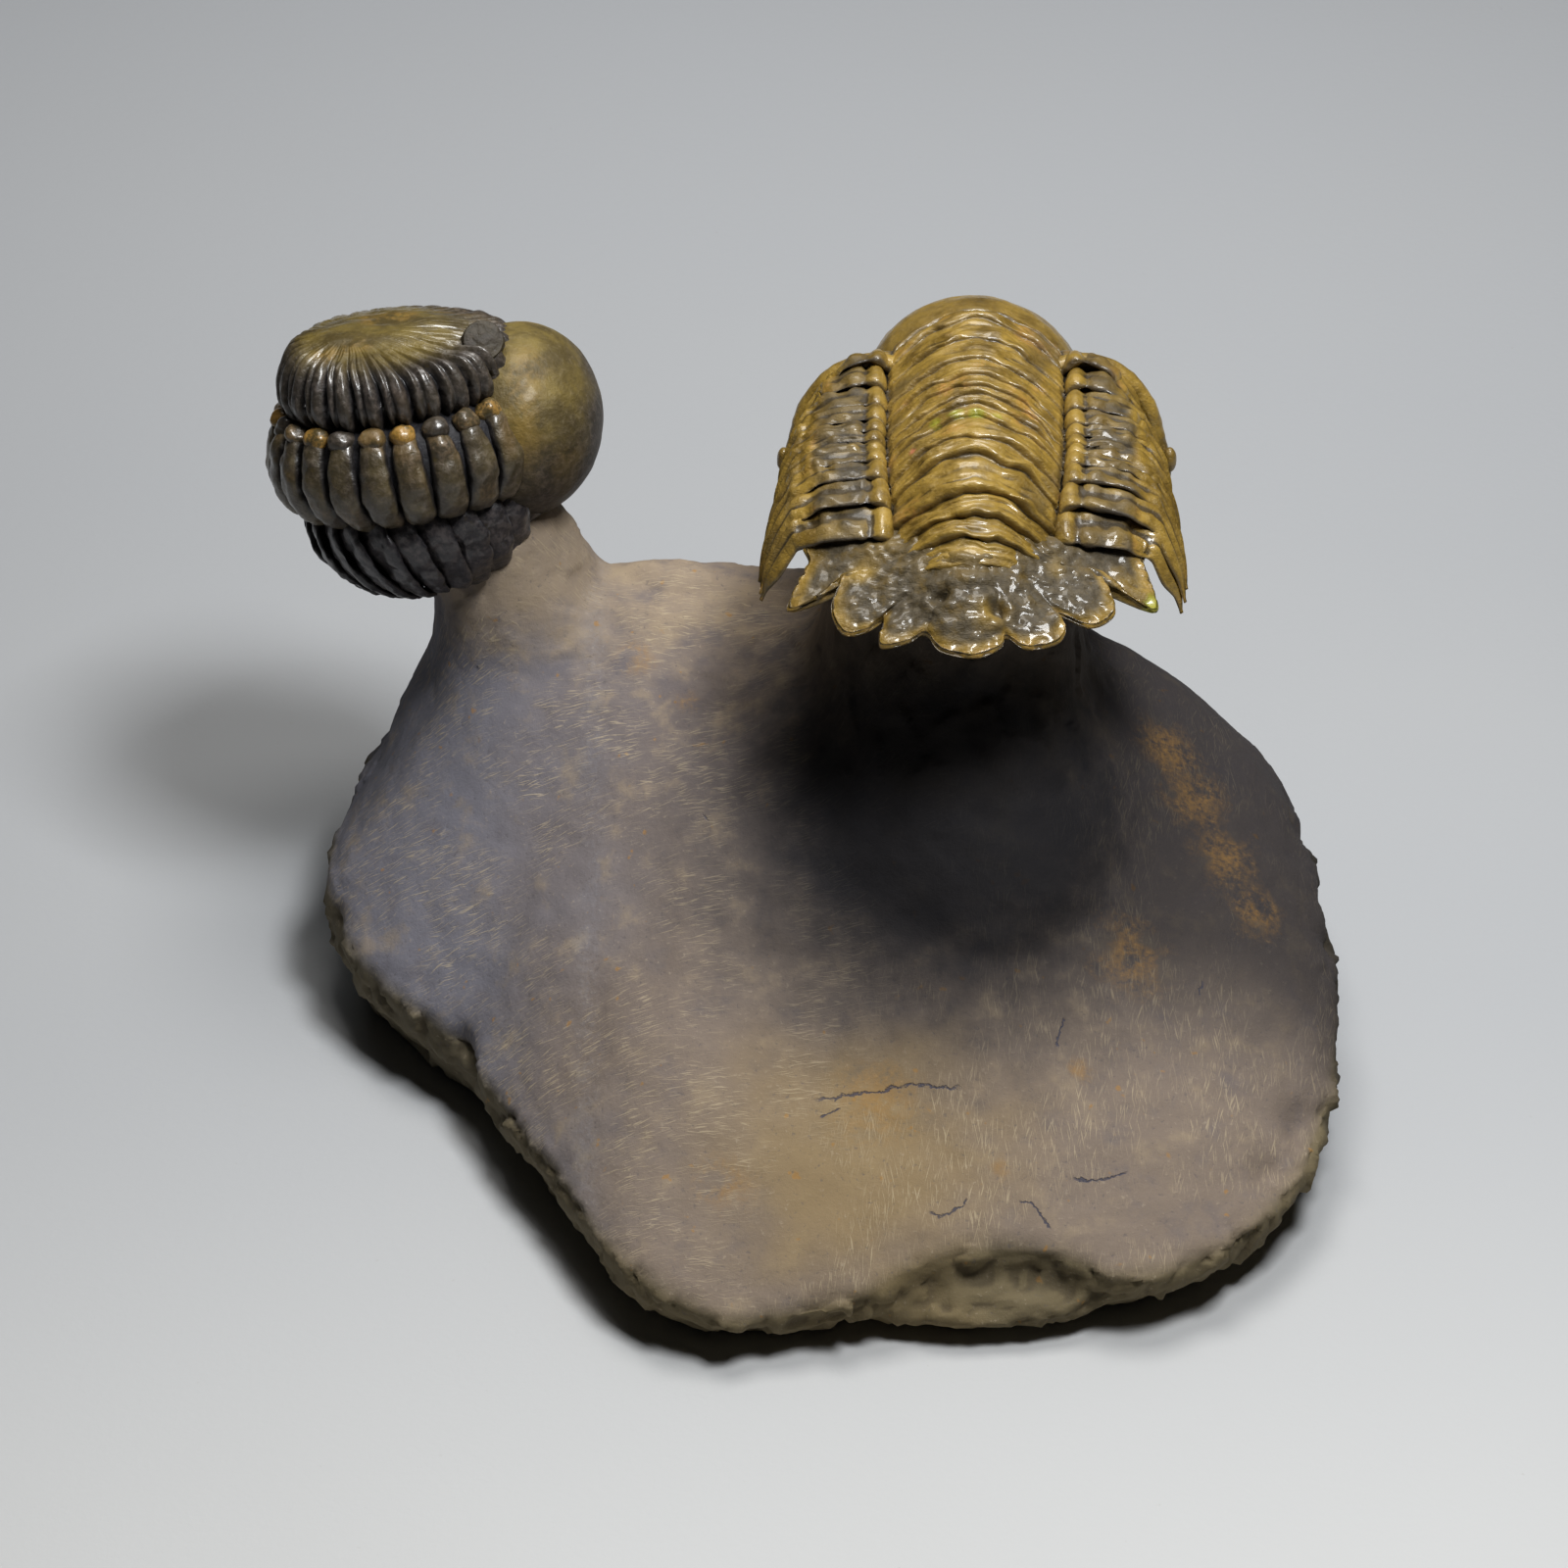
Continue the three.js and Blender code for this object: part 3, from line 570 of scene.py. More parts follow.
def block_rows(columns=420, dome=120, skirt=26, base=24):
    """Block: straight lines in plan from ridge to rim, then the undercut skirt and the flat sole.

    The height falls from the ridge to the rim as 1 - (1 - level)^1.55, where level is 1 on the ridge.
    """
    rim = along(RIM, np.arange(columns) / columns * len(RIM), closed=True)
    middle = (RIDGE_LEFT + RIDGE_RIGHT) / 2.0
    half = (RIDGE_RIGHT - RIDGE_LEFT) / 2.0
    angle = np.arctan2((rim[:, 1] - middle[1]) / RAY_STRETCH, rim[:, 0] - middle[0])
    ridge = middle + half * np.cos(angle)[:, None]
    ridge[:, 1] += RIDGE_HALF_DEPTH * np.sin(angle)
    level = np.linspace(1.0, 0.0, dome)[:, None]
    top = mix(rim[None], ridge[None], level[..., None])
    top[..., 2] = mix(rim[:, 2], ridge[:, 2], 1.0 - (1.0 - level) ** DOME_ROUNDNESS)
    top[..., 2] += foot_swell(top) * np.minimum(1.0, level * FOOT_START)
    side = walked(SKIRT, skirt)[1:]
    wall = BASE_MIDDLE + (rim[None] - BASE_MIDDLE) * side[:, 0][:, None, None]
    wall[..., 2] = rim[:, 2] * np.maximum(side[:, 1], 0.0)[:, None]
    reach = np.linspace(1.0, SOLE_HOLE, base)[1:, None, None]
    sole = BASE_MIDDLE + (wall[-1][None] - BASE_MIDDLE) * reach
    return np.concatenate([top, wall, sole])


def pedestal_rows(sections, rows=90, columns=150):
    """Pedestal: ellipses whose centre and half sizes follow a smooth line through the sections.

    Waves round each ellipse, the sine of count * angle + height * turn, keep it a little uneven.
    """
    x, y, z, half_width, half_depth = walked(sections, rows).T[..., None]
    angle = round_angles(columns)
    wave = 1.0
    for count, share, turn in PEDESTAL_WAVES:
        wave = wave + share * np.sin(count * angle + z * turn)
    across = x + half_width * np.cos(angle) * wave
    back = y + half_depth * np.sin(angle) * wave
    return np.stack([across, back, np.broadcast_to(z, wave.shape)], axis=-1)


def ball_rows(centre, size, rows=60, columns=90):
    """Ellipsoid: circles of latitude from top to bottom, with radius sin(height) at height cos(height)."""
    height = np.linspace(POLE_GAP, math.pi - POLE_GAP, rows)[:, None]
    angle = round_angles(columns)
    x = np.sin(height) * np.cos(angle)
    y = np.sin(height) * np.sin(angle)
    z = np.broadcast_to(np.cos(height), x.shape)
    return np.array(centre) + np.stack([x, y, z], axis=-1) * np.array(size)


def fused(name, body, voxel):
    """One skin round overlapping closed skins, on a lattice of this size in millimetres."""
    points = np.concatenate(body.points)
    loose = mesh_of(name + "_parts", points, np.concatenate(body.quads), np.concatenate(body.triangles))
    carrier = bpy.data.objects.new(name + "_parts", loose)
    bpy.context.scene.collection.objects.link(carrier)
    remesh = carrier.modifiers.new("one_skin", "REMESH")
    remesh.mode = "VOXEL"
    remesh.voxel_size = voxel * MM
    remesh.use_smooth_shade = True
    shape = carrier.evaluated_get(bpy.context.evaluated_depsgraph_get())
    mesh = bpy.data.meshes.new_from_object(shape)
    bpy.data.objects.remove(carrier)
    bpy.data.meshes.remove(loose)
    mesh.name = name
    return mesh


def put_points(mesh, points):
    """Moves a mesh's points to places given in millimetres of the drawing frame."""
    mesh.vertices.foreach_set("co", ((points + PLACE) * MM).astype(np.float32).ravel())
    mesh.update()


def settle(mesh, strength, rounds):
    """Moves each point part of the way to the mean of its neighbours, round after round."""
    points = points_of(mesh)
    edges = edges_of(mesh)
    for _ in range(rounds):
        points += strength[:, None] * (neighbour_mean(points, edges) - points)
    put_points(mesh, points)


def around_base(points):
    """Angle and distance of each point from the middle of the base, seen from above."""
    x = points[:, 0] - BASE_MIDDLE[0]
    y = points[:, 1] - BASE_MIDDLE[1]
    return np.arctan2(y, x), np.hypot(x, y)


def rim_reach(points):
    """How far out each point lies, as a share of the rim's reach there, and the rim's height there."""
    rim = along(RIM, np.linspace(0.0, len(RIM), RIM_READINGS, endpoint=False), closed=True)
    angle, reach = around_base(rim)
    order = np.argsort(angle)
    turn, distance = around_base(points)
    limit = np.interp(turn, angle[order], reach[order], period=TURN)
    height = np.interp(turn, angle[order], rim[order, 2], period=TURN)
    return distance / limit, height


def carve_ledge(points):
    """Recess under the front ledge: points inside an ellipsoid move back to its far side.

    The far side is the middle + depth * sqrt(1 - across^2 - up^2), in shares of the half sizes.
    """
    centre, size = LEDGE_HOLLOW
    offset = (points - np.array(centre)) / np.array(size)
    inside = np.maximum(1.0 - offset[:, 0] ** 2 - offset[:, 2] ** 2, 0.0)
    far_side = centre[1] + size[1] * np.sqrt(inside)
    front = points[:, 1] < np.minimum(far_side, LEDGE_BACK)
    deep = np.where((inside > 0.0) & front, far_side, points[:, 1])
    return np.stack([points[:, 0], deep, points[:, 2]], axis=-1)


def stone_relief(points, normals, relief):
    """Height off the smooth stone, and where the stone is broken.

    It adds up broad waves, worn grain, broken facets on the side and at the rim, rough facets on the
    pedestals' feet and the rim's dents, and dies away on the sole.
    """
    reach, rim_height = rim_reach(points)
    over_rim = points[:, 2] - rim_height
    broken = smooth(1.2, -0.4, over_rim) * smooth(0.7, 0.86, reach)
    edge = hill(reach - 1.0, 0.05) * smooth(-3.0, 0.0, over_rim)
    sole = smooth(0.9, 0.2, points[:, 2]) * smooth(0.5, 0.9, -normals[:, 2])
    height = grained(points, *BROAD_WAVES) + relief * grained(points, *WORN_GRAIN)
    height += broken * (0.7 * chips(points, 5.0, 11) + 0.3 * chips(points, 2.0, 21) - 0.25)
    height += edge * (0.35 * chips(points, 2.6, 31) - 0.1)
    pedestal = smooth(24.0, 34.0, points[:, 2])
    height += pedestal * (0.28 * chips(points, 3.4, 41) + 0.1 * cloud(points * [1.0, 1.0, 0.35], 1.3, 43))
    for centre, width, depth in RIM_DENTS:
        height -= depth * hill(np.linalg.norm(points - np.array(centre), axis=1), width)
    return height * (1.0 - sole), broken


def keep_inside(points, low, high):
    """Squeezes points a little, if need be, so that they stay between two corners."""
    for axis in range(3):
        least = points[:, axis].min()
        most = points[:, axis].max()
        room = high[axis] - low[axis]
        if most - least > room or least < low[axis] or most > high[axis]:
            size = min(most - least, room)
            start = np.clip(least, low[axis], high[axis] - size)
            points[:, axis] = start + (points[:, axis] - least) * size / (most - least)
    return points


def build_stone(settings):
    """Block and pedestals fused into one rock, worn where they meet, then given its relief."""
    body = Body()
    body.skin(block_rows())
    body.skin(pedestal_rows(LEFT_PEDESTAL))
    body.skin(pedestal_rows(RIGHT_PEDESTAL))
    body.skin(ball_rows(*LEDGE_LUMP))
    mesh = fused("stone_block", body, settings.lattice / MM)
    points = points_of(mesh)
    feet = smooth(20.0, 25.0, points[:, 2]) * smooth(41.0, 36.0, points[:, 2])
    settle(mesh, 0.2 + 0.45 * feet, WEAR_ROUNDS)
    points = carve_ledge(points_of(mesh))
    put_points(mesh, points)
    height, broken = stone_relief(points, normals_of(mesh), settings.relief)
    points = points + normals_of(mesh) * height[:, None]
    low, high = (np.array(corner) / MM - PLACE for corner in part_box(STONE))
    points = keep_inside(points, low, high)
    points[:, 2] = np.where(points[:, 2] < SOLE_FLAT, 0.0, points[:, 2])
    put_points(mesh, points)
    return place_piece("stone_block", mesh, stone_finish(settings), STONE, {"broken": broken})


# Outstretched trilobite.

# Crest of the axis, one point a station from ahead of the neck ring to the tail: y and z.
FIRST_STATION = -3.0
CREST = [
    (26.6, 51.9), (24.7, 53.7), (22.7, 54.8), (20.5, 55.3), (18.3, 55.5), (16.0, 55.6), (13.7, 55.7),
    (11.4, 55.8), (9.1, 55.9), (6.9, 56.0), (4.7, 56.1), (2.5, 56.1), (0.2, 55.9), (-2.1, 55.3),
    (-4.4, 54.3), (-6.8, 53.0), (-9.2, 51.5), (-11.5, 49.9), (-13.8, 48.3), (-16.0, 46.9),
]
AXIS_MIDDLE_X = 12.0
BODY_YAW = 0.035

# For each station: half width of the axis, its arch, and how far out the ribs bend down.
AXIS_HALF = [
    6.6, 7.0, 7.2, 7.3, 7.3, 7.2, 7.2, 7.2, 7.2, 7.1, 7.0, 6.8, 6.6, 6.4, 6.2, 6.0, 5.6, 5.0, 4.2, 3.0,
]
AXIS_ARCH = [
    3.0, 3.4, 3.6, 3.7, 3.7, 3.7, 3.7, 3.7, 3.7, 3.7, 3.7, 3.7, 3.7, 3.6, 3.4, 2.9, 2.3, 1.7, 1.1, 0.4,
]
BEND = [
    9.0, 10.0, 11.0, 11.2, 12.0, 12.5, 12.8, 12.9, 12.9, 12.9, 12.9, 12.8, 12.7, 12.5, 12.2, 10.6, 8.4,
    6.2, 4.2, 1.8,
]

# Power by which the arch falls off to its sides, how far the rings sweep back, and a station's length.
CREST_POWER = 1.7
SWEEP = 2.0
STATION_LENGTH = 2.25

# Rings of the axis from the neck to the tail: station of the rear edge, and height of the edge.
RINGS = np.array([
    (-1.6, 0.3), (-0.15, 0.36), (1.4, 0.4), (2.8, 0.4), (3.85, 0.36), (4.65, 0.32), (5.35, 0.32),
    (6.05, 0.34), (6.85, 0.38), (8.1, 0.48), (9.2, 0.6), (10.7, 0.75), (11.55, 0.6), (12.3, 0.5),
    (13.05, 0.35), (13.85, 0.2), (14.7, 0.1),
])

# One ring from its front edge to its rear edge: share of its length, and share of its height.
RING_PROFILE = [
    (0.0, 0.0), (0.07, 0.0), (0.16, 0.2), (0.25, 0.42), (0.34, 0.3), (0.44, 0.42), (0.55, 0.72),
    (0.65, 0.6), (0.75, 0.8), (0.85, 1.02), (0.93, 0.96), (0.985, 0.62), (1.0, 0.25),
]

# Ribs that carry a blade: station of the middle, half the rib's width in millimetres, and the blade's
# length as a share of the usual one.
RIBS = [
    (-0.9, 1.75, 1.0), (0.65, 1.75, 1.0), (2.2, 1.6, 1.0), (3.4, 1.25, 1.0), (4.3, 0.95, 1.0),
    (5.0, 0.85, 1.0), (5.7, 0.85, 1.08), (6.4, 1.0, 1.18), (7.3, 1.45, 1.24), (8.65, 1.8, 1.14),
    (10.15, 1.95, 1.0),
]

# Blades: how far out of the bend their points lie on the spread hind ribs and on the tucked front ribs,
# then how far down and how far back they reach, in millimetres.
BLADE_SPLAYED = np.array([0.7, 1.4, 2.1, 3.0, 3.6])
BLADE_TUCKED = np.array([0.7, 1.4, 2.0, 2.1, 1.4])
BLADE_DROP = 5.4
BLADE_SWEEP = 3.9

# Head: middle and half sizes of the dome, then the cheeks' places out from the dome's middle.
GLABELLA = ((12.9, 26.0, 43.1), (10.0, 9.6, 9.6))
CHEEK_PAD = (11.3, 22.4, 42.8)
PAD_SIZE = (4.0, 4.6, 5.0)
CHEEK_SHIELD = (9.4, 19.8, 45.2)
SHIELD_SIZE = (6.3, 3.2, 5.9)
CHEEK_RIM = [
    (3.4, 17.8, 49.6), (4.8, 18.6, 50.6), (8.0, 19.8, 51.6), (11.6, 19.7, 50.8), (14.2, 19.0, 48.2),
    (15.4, 18.2, 44.8), (16.0, 17.2, 42.4), (15.8, 16.8, 41.0),
]
RIM_RADIUS = (0.6, 0.95, 1.1, 1.1, 1.0, 0.9, 0.75, 0.5)
EYE_STUB = (16.4, 17.2, 43.6)
EYE_ROOT = (15.3, 17.8, 43.7)
EYE_RADIUS = (0.55, 0.5, 0.85, 0.55)
EYE_KNOB = (0.62, 0.8, 1.15)

# Tail shield's edge, lobe and notch in turn: distance from the axis, y and z.
TAIL_EDGE = [
    (-11.6, -3.4, 50.2), (-13.4, -5.4, 48.6), (-15.0, -8.8, 46.8), (-12.6, -8.8, 47.8), (-10.6, -7.4, 49.2),
    (-11.4, -10.2, 48.0), (-10.4, -12.4, 47.0), (-8.6, -12.4, 47.2), (-7.2, -11.4, 47.8),
    (-7.4, -14.0, 46.9), (-5.2, -13.9, 47.2), (-3.8, -13.3, 47.7),
    (-2.6, -15.0, 47.2), (0.2, -15.6, 47.0), (2.2, -14.7, 47.3), (2.6, -13.7, 47.7),
    (4.2, -14.7, 47.2), (6.6, -14.1, 47.2), (7.4, -12.7, 47.7), (6.8, -11.5, 48.2),
    (9.4, -12.1, 47.4), (11.2, -10.9, 47.6), (11.2, -9.3, 48.2), (10.2, -7.2, 49.4),
    (12.6, -8.6, 48.0), (14.8, -9.0, 46.8), (13.8, -5.4, 48.6), (11.6, -3.4, 50.2),
]
TAIL_NOTCHES = np.array([4.0, 8.0, 11.0, 15.0, 19.0, 23.0])
TAIL_CENTRE = np.array([0.0, -6.0, 50.6])
TAIL_PITS = ((9.06, -11.09), (13.39, -12.16))

# Curled wrinkles on the tail: middle of the curl, and its seed.
TAIL_SWIRLS = [((6.2, -5.4, 50.5), 74), ((17.6, -5.4, 50.5), 75)]

# Ridges across a rib and keels across a blade: middle, width and height, in shares of the half width.
RIB_RIDGES = [(0.45, 0.2, 0.55), (0.05, 0.16, -0.6), (-0.42, 0.22, 0.5)]
BLADE_KEELS = [(0.2, 0.18, 1.1), (-0.45, 0.12, 0.8)]

# Noise on the shells: height, size of a patch, seed and number of layers.
RIB_LUMPS = [(0.1, 0.75, 63, 1), (0.16, 1.3, 68, 1)]
PAD_GRAIN = [(0.16, 2.2, 86, 3)]
SHIELD_GRAIN = [(0.2, 2.6, 82, 3)]
DOME_GRAIN = [(0.09, 2.4, 81, 3), (0.02, 0.5, 84, 1)]

# A direction that no tube runs along, from which its ring of points starts.
TUBE_SIDE = np.array([0.0, 0.8, -0.6])
TINY = 1e-9


def lifted(rows, height):
    """Moves each point of a closed skin outward along its own normal by a height."""
    around = np.roll(rows, -1, axis=1) - np.roll(rows, 1, axis=1)
    normal = np.cross(around, np.gradient(rows, axis=0))
    normal /= np.maximum(np.linalg.norm(normal, axis=-1, keepdims=True), TINY)
    outward = np.einsum("...i,...i->...", normal, rows - rows.mean(axis=(0, 1))).sum()
    return rows + normal * np.broadcast_to(height, rows.shape[:-1])[..., None] * np.sign(outward)


def at_station(values, station):
    """Value at a station, from a list with one number for each station."""
    return along(values, np.asarray(station, float) - FIRST_STATION)


def axis_x(y):
    """Where the axis runs at each y, because the body is turned a little."""
    return AXIS_MIDDLE_X + BODY_YAW * y


def crest_frame(station):
    """Crest point at a station, and the body's directions there: to the side, ahead and up."""
    line = np.array([(axis_x(y), y, z) for y, z in CREST])
    crest = at_station(line, station)
    ahead = unit(at_station(line, station - 0.1) - at_station(line, station + 0.1))
    side = unit(np.array([1.0, 0.0, 0.0]) - ahead * ahead[..., :1])
    return crest, side, ahead, np.cross(side, ahead)


def in_body(station, outward, up, back):
    """Point at a station: outward from the axis, up from the arch's foot, and back to the tail."""
    station, outward, up, back = np.broadcast_arrays(station, outward, up, back)
    crest, side, ahead, rise = crest_frame(station)
    arch = at_station(AXIS_ARCH, station)
    return crest + side * outward[..., None] + rise * (up - arch)[..., None] - ahead * back[..., None]


def tail_pits(rows):
    """Depth of the two pits at the end of the tail's axis: a bell curve with a low rim round it."""
    depth = np.zeros(rows.shape[:-1])
    for x, y in TAIL_PITS:
        near = np.hypot(rows[..., 0] - x, rows[..., 1] - y)
        depth += 0.7 * hill(near, 0.5) - 0.16 * hill(near - 1.15, 0.4)
    return depth


def mirrored(half, sign=1.0):
    """Half a section followed by its mirror image, so that it runs right round."""
    return np.concatenate([half, sign * half[:, -2:0:-1]], axis=1)


def axis_section(station, arch_columns=52, flange_columns=10):
    """Section of the axis at each station: outward, up, back, share of the half width, and ring weight.

    The arch is arch (1 - t^1.7), where t goes from 0 at the crest to 1 at the foot. A flange then runs out to
    the ribs' bend, and a quarter of an ellipse closes the section below. Under the tail both die away.
    """
    half = at_station(AXIS_HALF, station)
    arch = at_station(AXIS_ARCH, station)
    bend = mix(at_station(BEND, station) + 0.3, half + 0.45, smooth(10.2, 11.6, station))
    depth = mix(3.2, 0.15, smooth(9.5, 11.6, station))
    ending = smooth(11.0, 13.8, station)
    t = np.sin(np.linspace(0.0, math.pi / 2.0, arch_columns))[None]
    flat = np.linspace(0.0, 1.0, flange_columns + 1)[None, 1:]
    under = np.linspace(0.0, math.pi / 2.0, 9)[None, 1:]
    flange = half + 0.1 + (bend - half - 0.1) * flat ** 1.5
    outward = np.concatenate([half * t, flange, bend * np.cos(under)], axis=1)
    up = np.concatenate([
        arch * (1.0 - t ** CREST_POWER) - 0.3 * smooth(0.95, 1.0, t) - 1.2 * smooth(12.2, 14.7, station),
        np.broadcast_to(-0.45 + 0.1 * flat - 0.8 * flat ** 5, (len(station), flat.size)),
        -1.15 * (1.0 - 0.5 * ending) - depth * np.sin(under),
    ], axis=1)
    share = np.minimum(outward / half, 1.3)
    back = SWEEP * (1.0 - 0.7 * ending) * np.minimum(share, 1.0) ** 2
    weight = np.where(share < 1.02, 1.0 - 0.45 * smooth(0.6, 1.0, share), 0.2)
    weight = np.where(np.arange(outward.shape[1]) < arch_columns + flange_columns - 2, weight, 0.0)
    return mirrored(outward, -1.0), mirrored(up), mirrored(back), mirrored(share), mirrored(weight)


def ring_skin(settings, ring_steps=22):
    """Axis: its section carried along the stations and raised ring by ring.

    A ring's height is its edge's height times the ring profile, with creases and a fold of noise along it.
    """
    profile = walked(RING_PROFILE, ring_steps)
    front = np.concatenate([[FIRST_STATION], RINGS[:-1, 0]])
    station = (front[:, None] + (RINGS[:, 0] - front)[:, None] * profile[:, 0]).reshape(-1, 1)
    edge = (RINGS[:, 1][:, None] * profile[:, 1]).reshape(-1, 1)
    share_along = np.tile(profile[:, 0], len(RINGS)).reshape(-1, 1)
    outward, up, back, share, weight = axis_section(station)
    level = np.zeros_like(outward)
    spot = np.stack([outward / 2.2, np.broadcast_to(station * 1.1, outward.shape), level], axis=-1)
    wave = 0.16 * cloud(spot, 1.0, 51) + 0.07 * cloud(spot * 2.7, 1.0, 52)
    rows = in_body(station + weight * wave * smooth(-3.0, -1.0, station), outward, up, back)
    run = station * STATION_LENGTH + back
    strand = np.stack([outward / 2.6, run / 0.5, level], axis=-1)
    crease = 0.6 * cloud(strand, 1.0, 53) + 0.5 * cloud(strand * [2.1, 1.7, 1.0], 1.0, 54)
    fold = cloud(np.stack([outward / 1.7, run / 1.3, level], axis=-1), 1.0, 56)
    height = weight * (edge * (1.0 + 0.4 * fold) + 0.2 * crease + 0.12 * fold)
    rows = lifted(rows, settings.relief * height - tail_pits(rows) * (weight > 0.0))
    gap = hill(np.minimum(share_along, 1.0 - share_along), 0.035) * weight
    groove = hill(share - 1.02, 0.04) * smooth(12.0, 9.0, station)
    patch = smooth(0.05, 0.5, cloud(rows, 2.8, 57) + 0.3 * (station < 3.0))
    marks = {
        "furrow": np.maximum(0.4 * gap, groove),
        "slate": 0.5 * smooth(0.4, 0.85, share) * patch + 0.5 * smooth(12.5, 14.5, station),
        "warm": smooth(0.2, 0.7, cloud(rows, 3.3, 58)),
    }
    return rows, marks


def rib_line(index):
    """Path of a rib and its blade, as outward, up and back: flat to the bend, then down to the tip.

    Along the blade, down grows as share^1.15 and back as share^1.3.
    """
    station, _, length = RIBS[index]
    half = float(at_station(AXIS_HALF, station))
    bend = float(at_station(BEND, station))
    share = np.array([0.14, 0.3, 0.5, 0.75, 1.0])
    spread = mix(BLADE_SPLAYED, BLADE_TUCKED, smooth(7.0, 3.0, float(index)))
    rib = [
        (half - 0.3, -1.6, 1.9), (half + 0.5, -0.6, 2.0), (half + 1.25, 0.12, 2.0),
        (0.5 * (half + bend) + 0.4, 0.05, 2.05), (bend - 0.7, -0.2, 2.15), (bend + 0.2, -0.75, 2.2),
    ]
    blade = np.stack([
        bend + spread + 0.1 * index,
        -1.0 - BLADE_DROP * length * share ** 1.15,
        2.0 + BLADE_SWEEP * length * share ** 1.3,
    ], axis=-1)
    return np.concatenate([rib, blade])


def rib_size(index, out, place, hanging):
    """Half width and half thickness along a rib: a bead at its root, a waist, and a blade that tapers."""
    half_width = RIBS[index][1]
    tip = smooth(7.2, 10.0, place)
    width = half_width * (1.12 - 0.16 * hill(out - 1.95, 0.4) - 0.3 * smooth(0.7, 0.2, out))
    blade = (0.5 + 0.6 * half_width) * np.maximum(1.0 - tip ** 1.7, 0.03) ** 0.85
    width = width * (1.0 - hanging) + hanging * blade
    thick = 0.36 + 0.5 * hill(out - 1.15, 0.5) * min(half_width, 1.1)
    thick = thick - 0.2 * hill(out - 1.95, 0.3) + 0.12 * hill(out - 3.0, 0.8)
    taper = 1.05 * np.maximum(1.0 - tip ** 2.0, 0.04) ** 0.6 + 0.15
    return width, thick * np.where(place > 6.0, taper, 1.0)


def rib_skin(index, side, steps=84, columns=26):
    """Rib and blade: a flattened ring of points carried along the rib's path.

    The ring is (cos, sin^0.7) above and flatter below, with ridges and a keel raised on its upper side.
    """
    station, half_width, _ = RIBS[index]
    line = rib_line(index)
    place = np.linspace(0.0, len(line) - 1.0, steps)
    outward, up, back = along(line, place).T
    centre = in_body(station, outward * side, up, back)
    ahead = crest_frame(np.array(station))[2]
    normal = unit(np.cross(np.gradient(centre, axis=0), ahead) * -side)
    normal *= np.sign(normal[8, 2])
    out = outward - float(at_station(AXIS_HALF, station))
    hanging = smooth(4.6, 6.4, place)
    width, thick = rib_size(index, out, place, hanging)
    angle = round_angles(columns)
    across = np.cos(angle)[None]
    top = np.maximum(np.sin(angle), 0.0)[None] ** 0.7
    under = np.minimum(np.sin(angle), 0.0)[None] * 0.6
    ridges = raised(across, RIB_RIDGES)
    flat_part = (smooth(1.5, 2.2, out) * smooth(7.4, 5.6, place))[:, None]
    keel = raised(across, BLADE_KEELS) * hanging[:, None]
    form = top * (1.0 + ridges * flat_part + keel) + under
    tilt = (0.14 * (1.0 - hanging) - 0.1 * hanging)[:, None] * -across * width[:, None]
    spot = np.stack([place * 0.9, np.full(steps, index * 5.3 + side), np.zeros(steps)], axis=-1)
    jitter = 0.14 * cloud(spot, 1.0, 61)
    swing = 0.12 * cloud(spot * 0.7, 1.0, 67) * hanging
    rows = centre[:, None] + ahead * (across * width[:, None] + jitter[:, None])[..., None]
    rows = rows + normal[:, None] * (form * thick[:, None] + tilt + swing[:, None])[..., None]
    grain = np.stack([
        np.broadcast_to(place[:, None] / 2.2, form.shape),
        np.broadcast_to(across * half_width / 0.3, form.shape),
        np.full(form.shape, index * 3.1 + side),
    ], axis=-1)
    lump = grained(rows, *RIB_LUMPS) * flat_part * (1.0 + top)
    rows = lifted(rows, 0.07 * cloud(grain, 1.0, 62) + lump)
    return rows, rib_marks(rows, side, place[:, None], out[:, None], across, hanging[:, None], flat_part)


def rib_marks(rows, side, place, out, across, hanging, flat_part):
    """Colours of a rib: slate on its flat part, warm at its bend and tip, dark in its furrows and joints."""
    slate = smooth(1.6, 2.4, out) * smooth(5.4, 4.2, place) * (0.7 + 0.5 * cloud(rows, 1.3, 64))
    slate = slate + 0.3 * smooth(5.4, 6.6, place) * smooth(0.1, 0.6, cloud(rows, 2.4, 65))
    warm = smooth(8.6, 9.8, place) * (0.4 + 0.6 * (side < 0))
    warm = warm + 0.6 * hill(place - 4.9, 0.5) * smooth(0.0, 0.5, cloud(rows, 1.9, 66))
    furrow = 0.85 * smooth(0.84, 1.0, np.abs(across)) * (0.75 + 0.25 * smooth(7.0, 4.6, place))
    furrow = furrow + smooth(0.75, 0.4, out) + 0.45 * hill(out - 1.95, 0.22)
    furrow = furrow + 0.45 * hill(across + 0.16, 0.1) * hanging + 0.35 * hill(across - 0.05, 0.12) * flat_part
    return {"slate": slate, "warm": warm, "furrow": np.clip(furrow, 0.0, 1.0)}


def evened(edge, reach):
    """A closed edge with its lobes smoothed away: bell-weighted means over this many points each way."""
    window = np.hanning(2 * reach + 1)
    wrapped = np.concatenate([edge[-reach - 1:], edge, edge[:reach + 1]])
    means = [np.convolve(wrapped[:, axis], window / window.sum(), "same") for axis in range(3)]
    return np.stack(means, axis=-1)[reach + 1:reach + 1 + len(edge)]


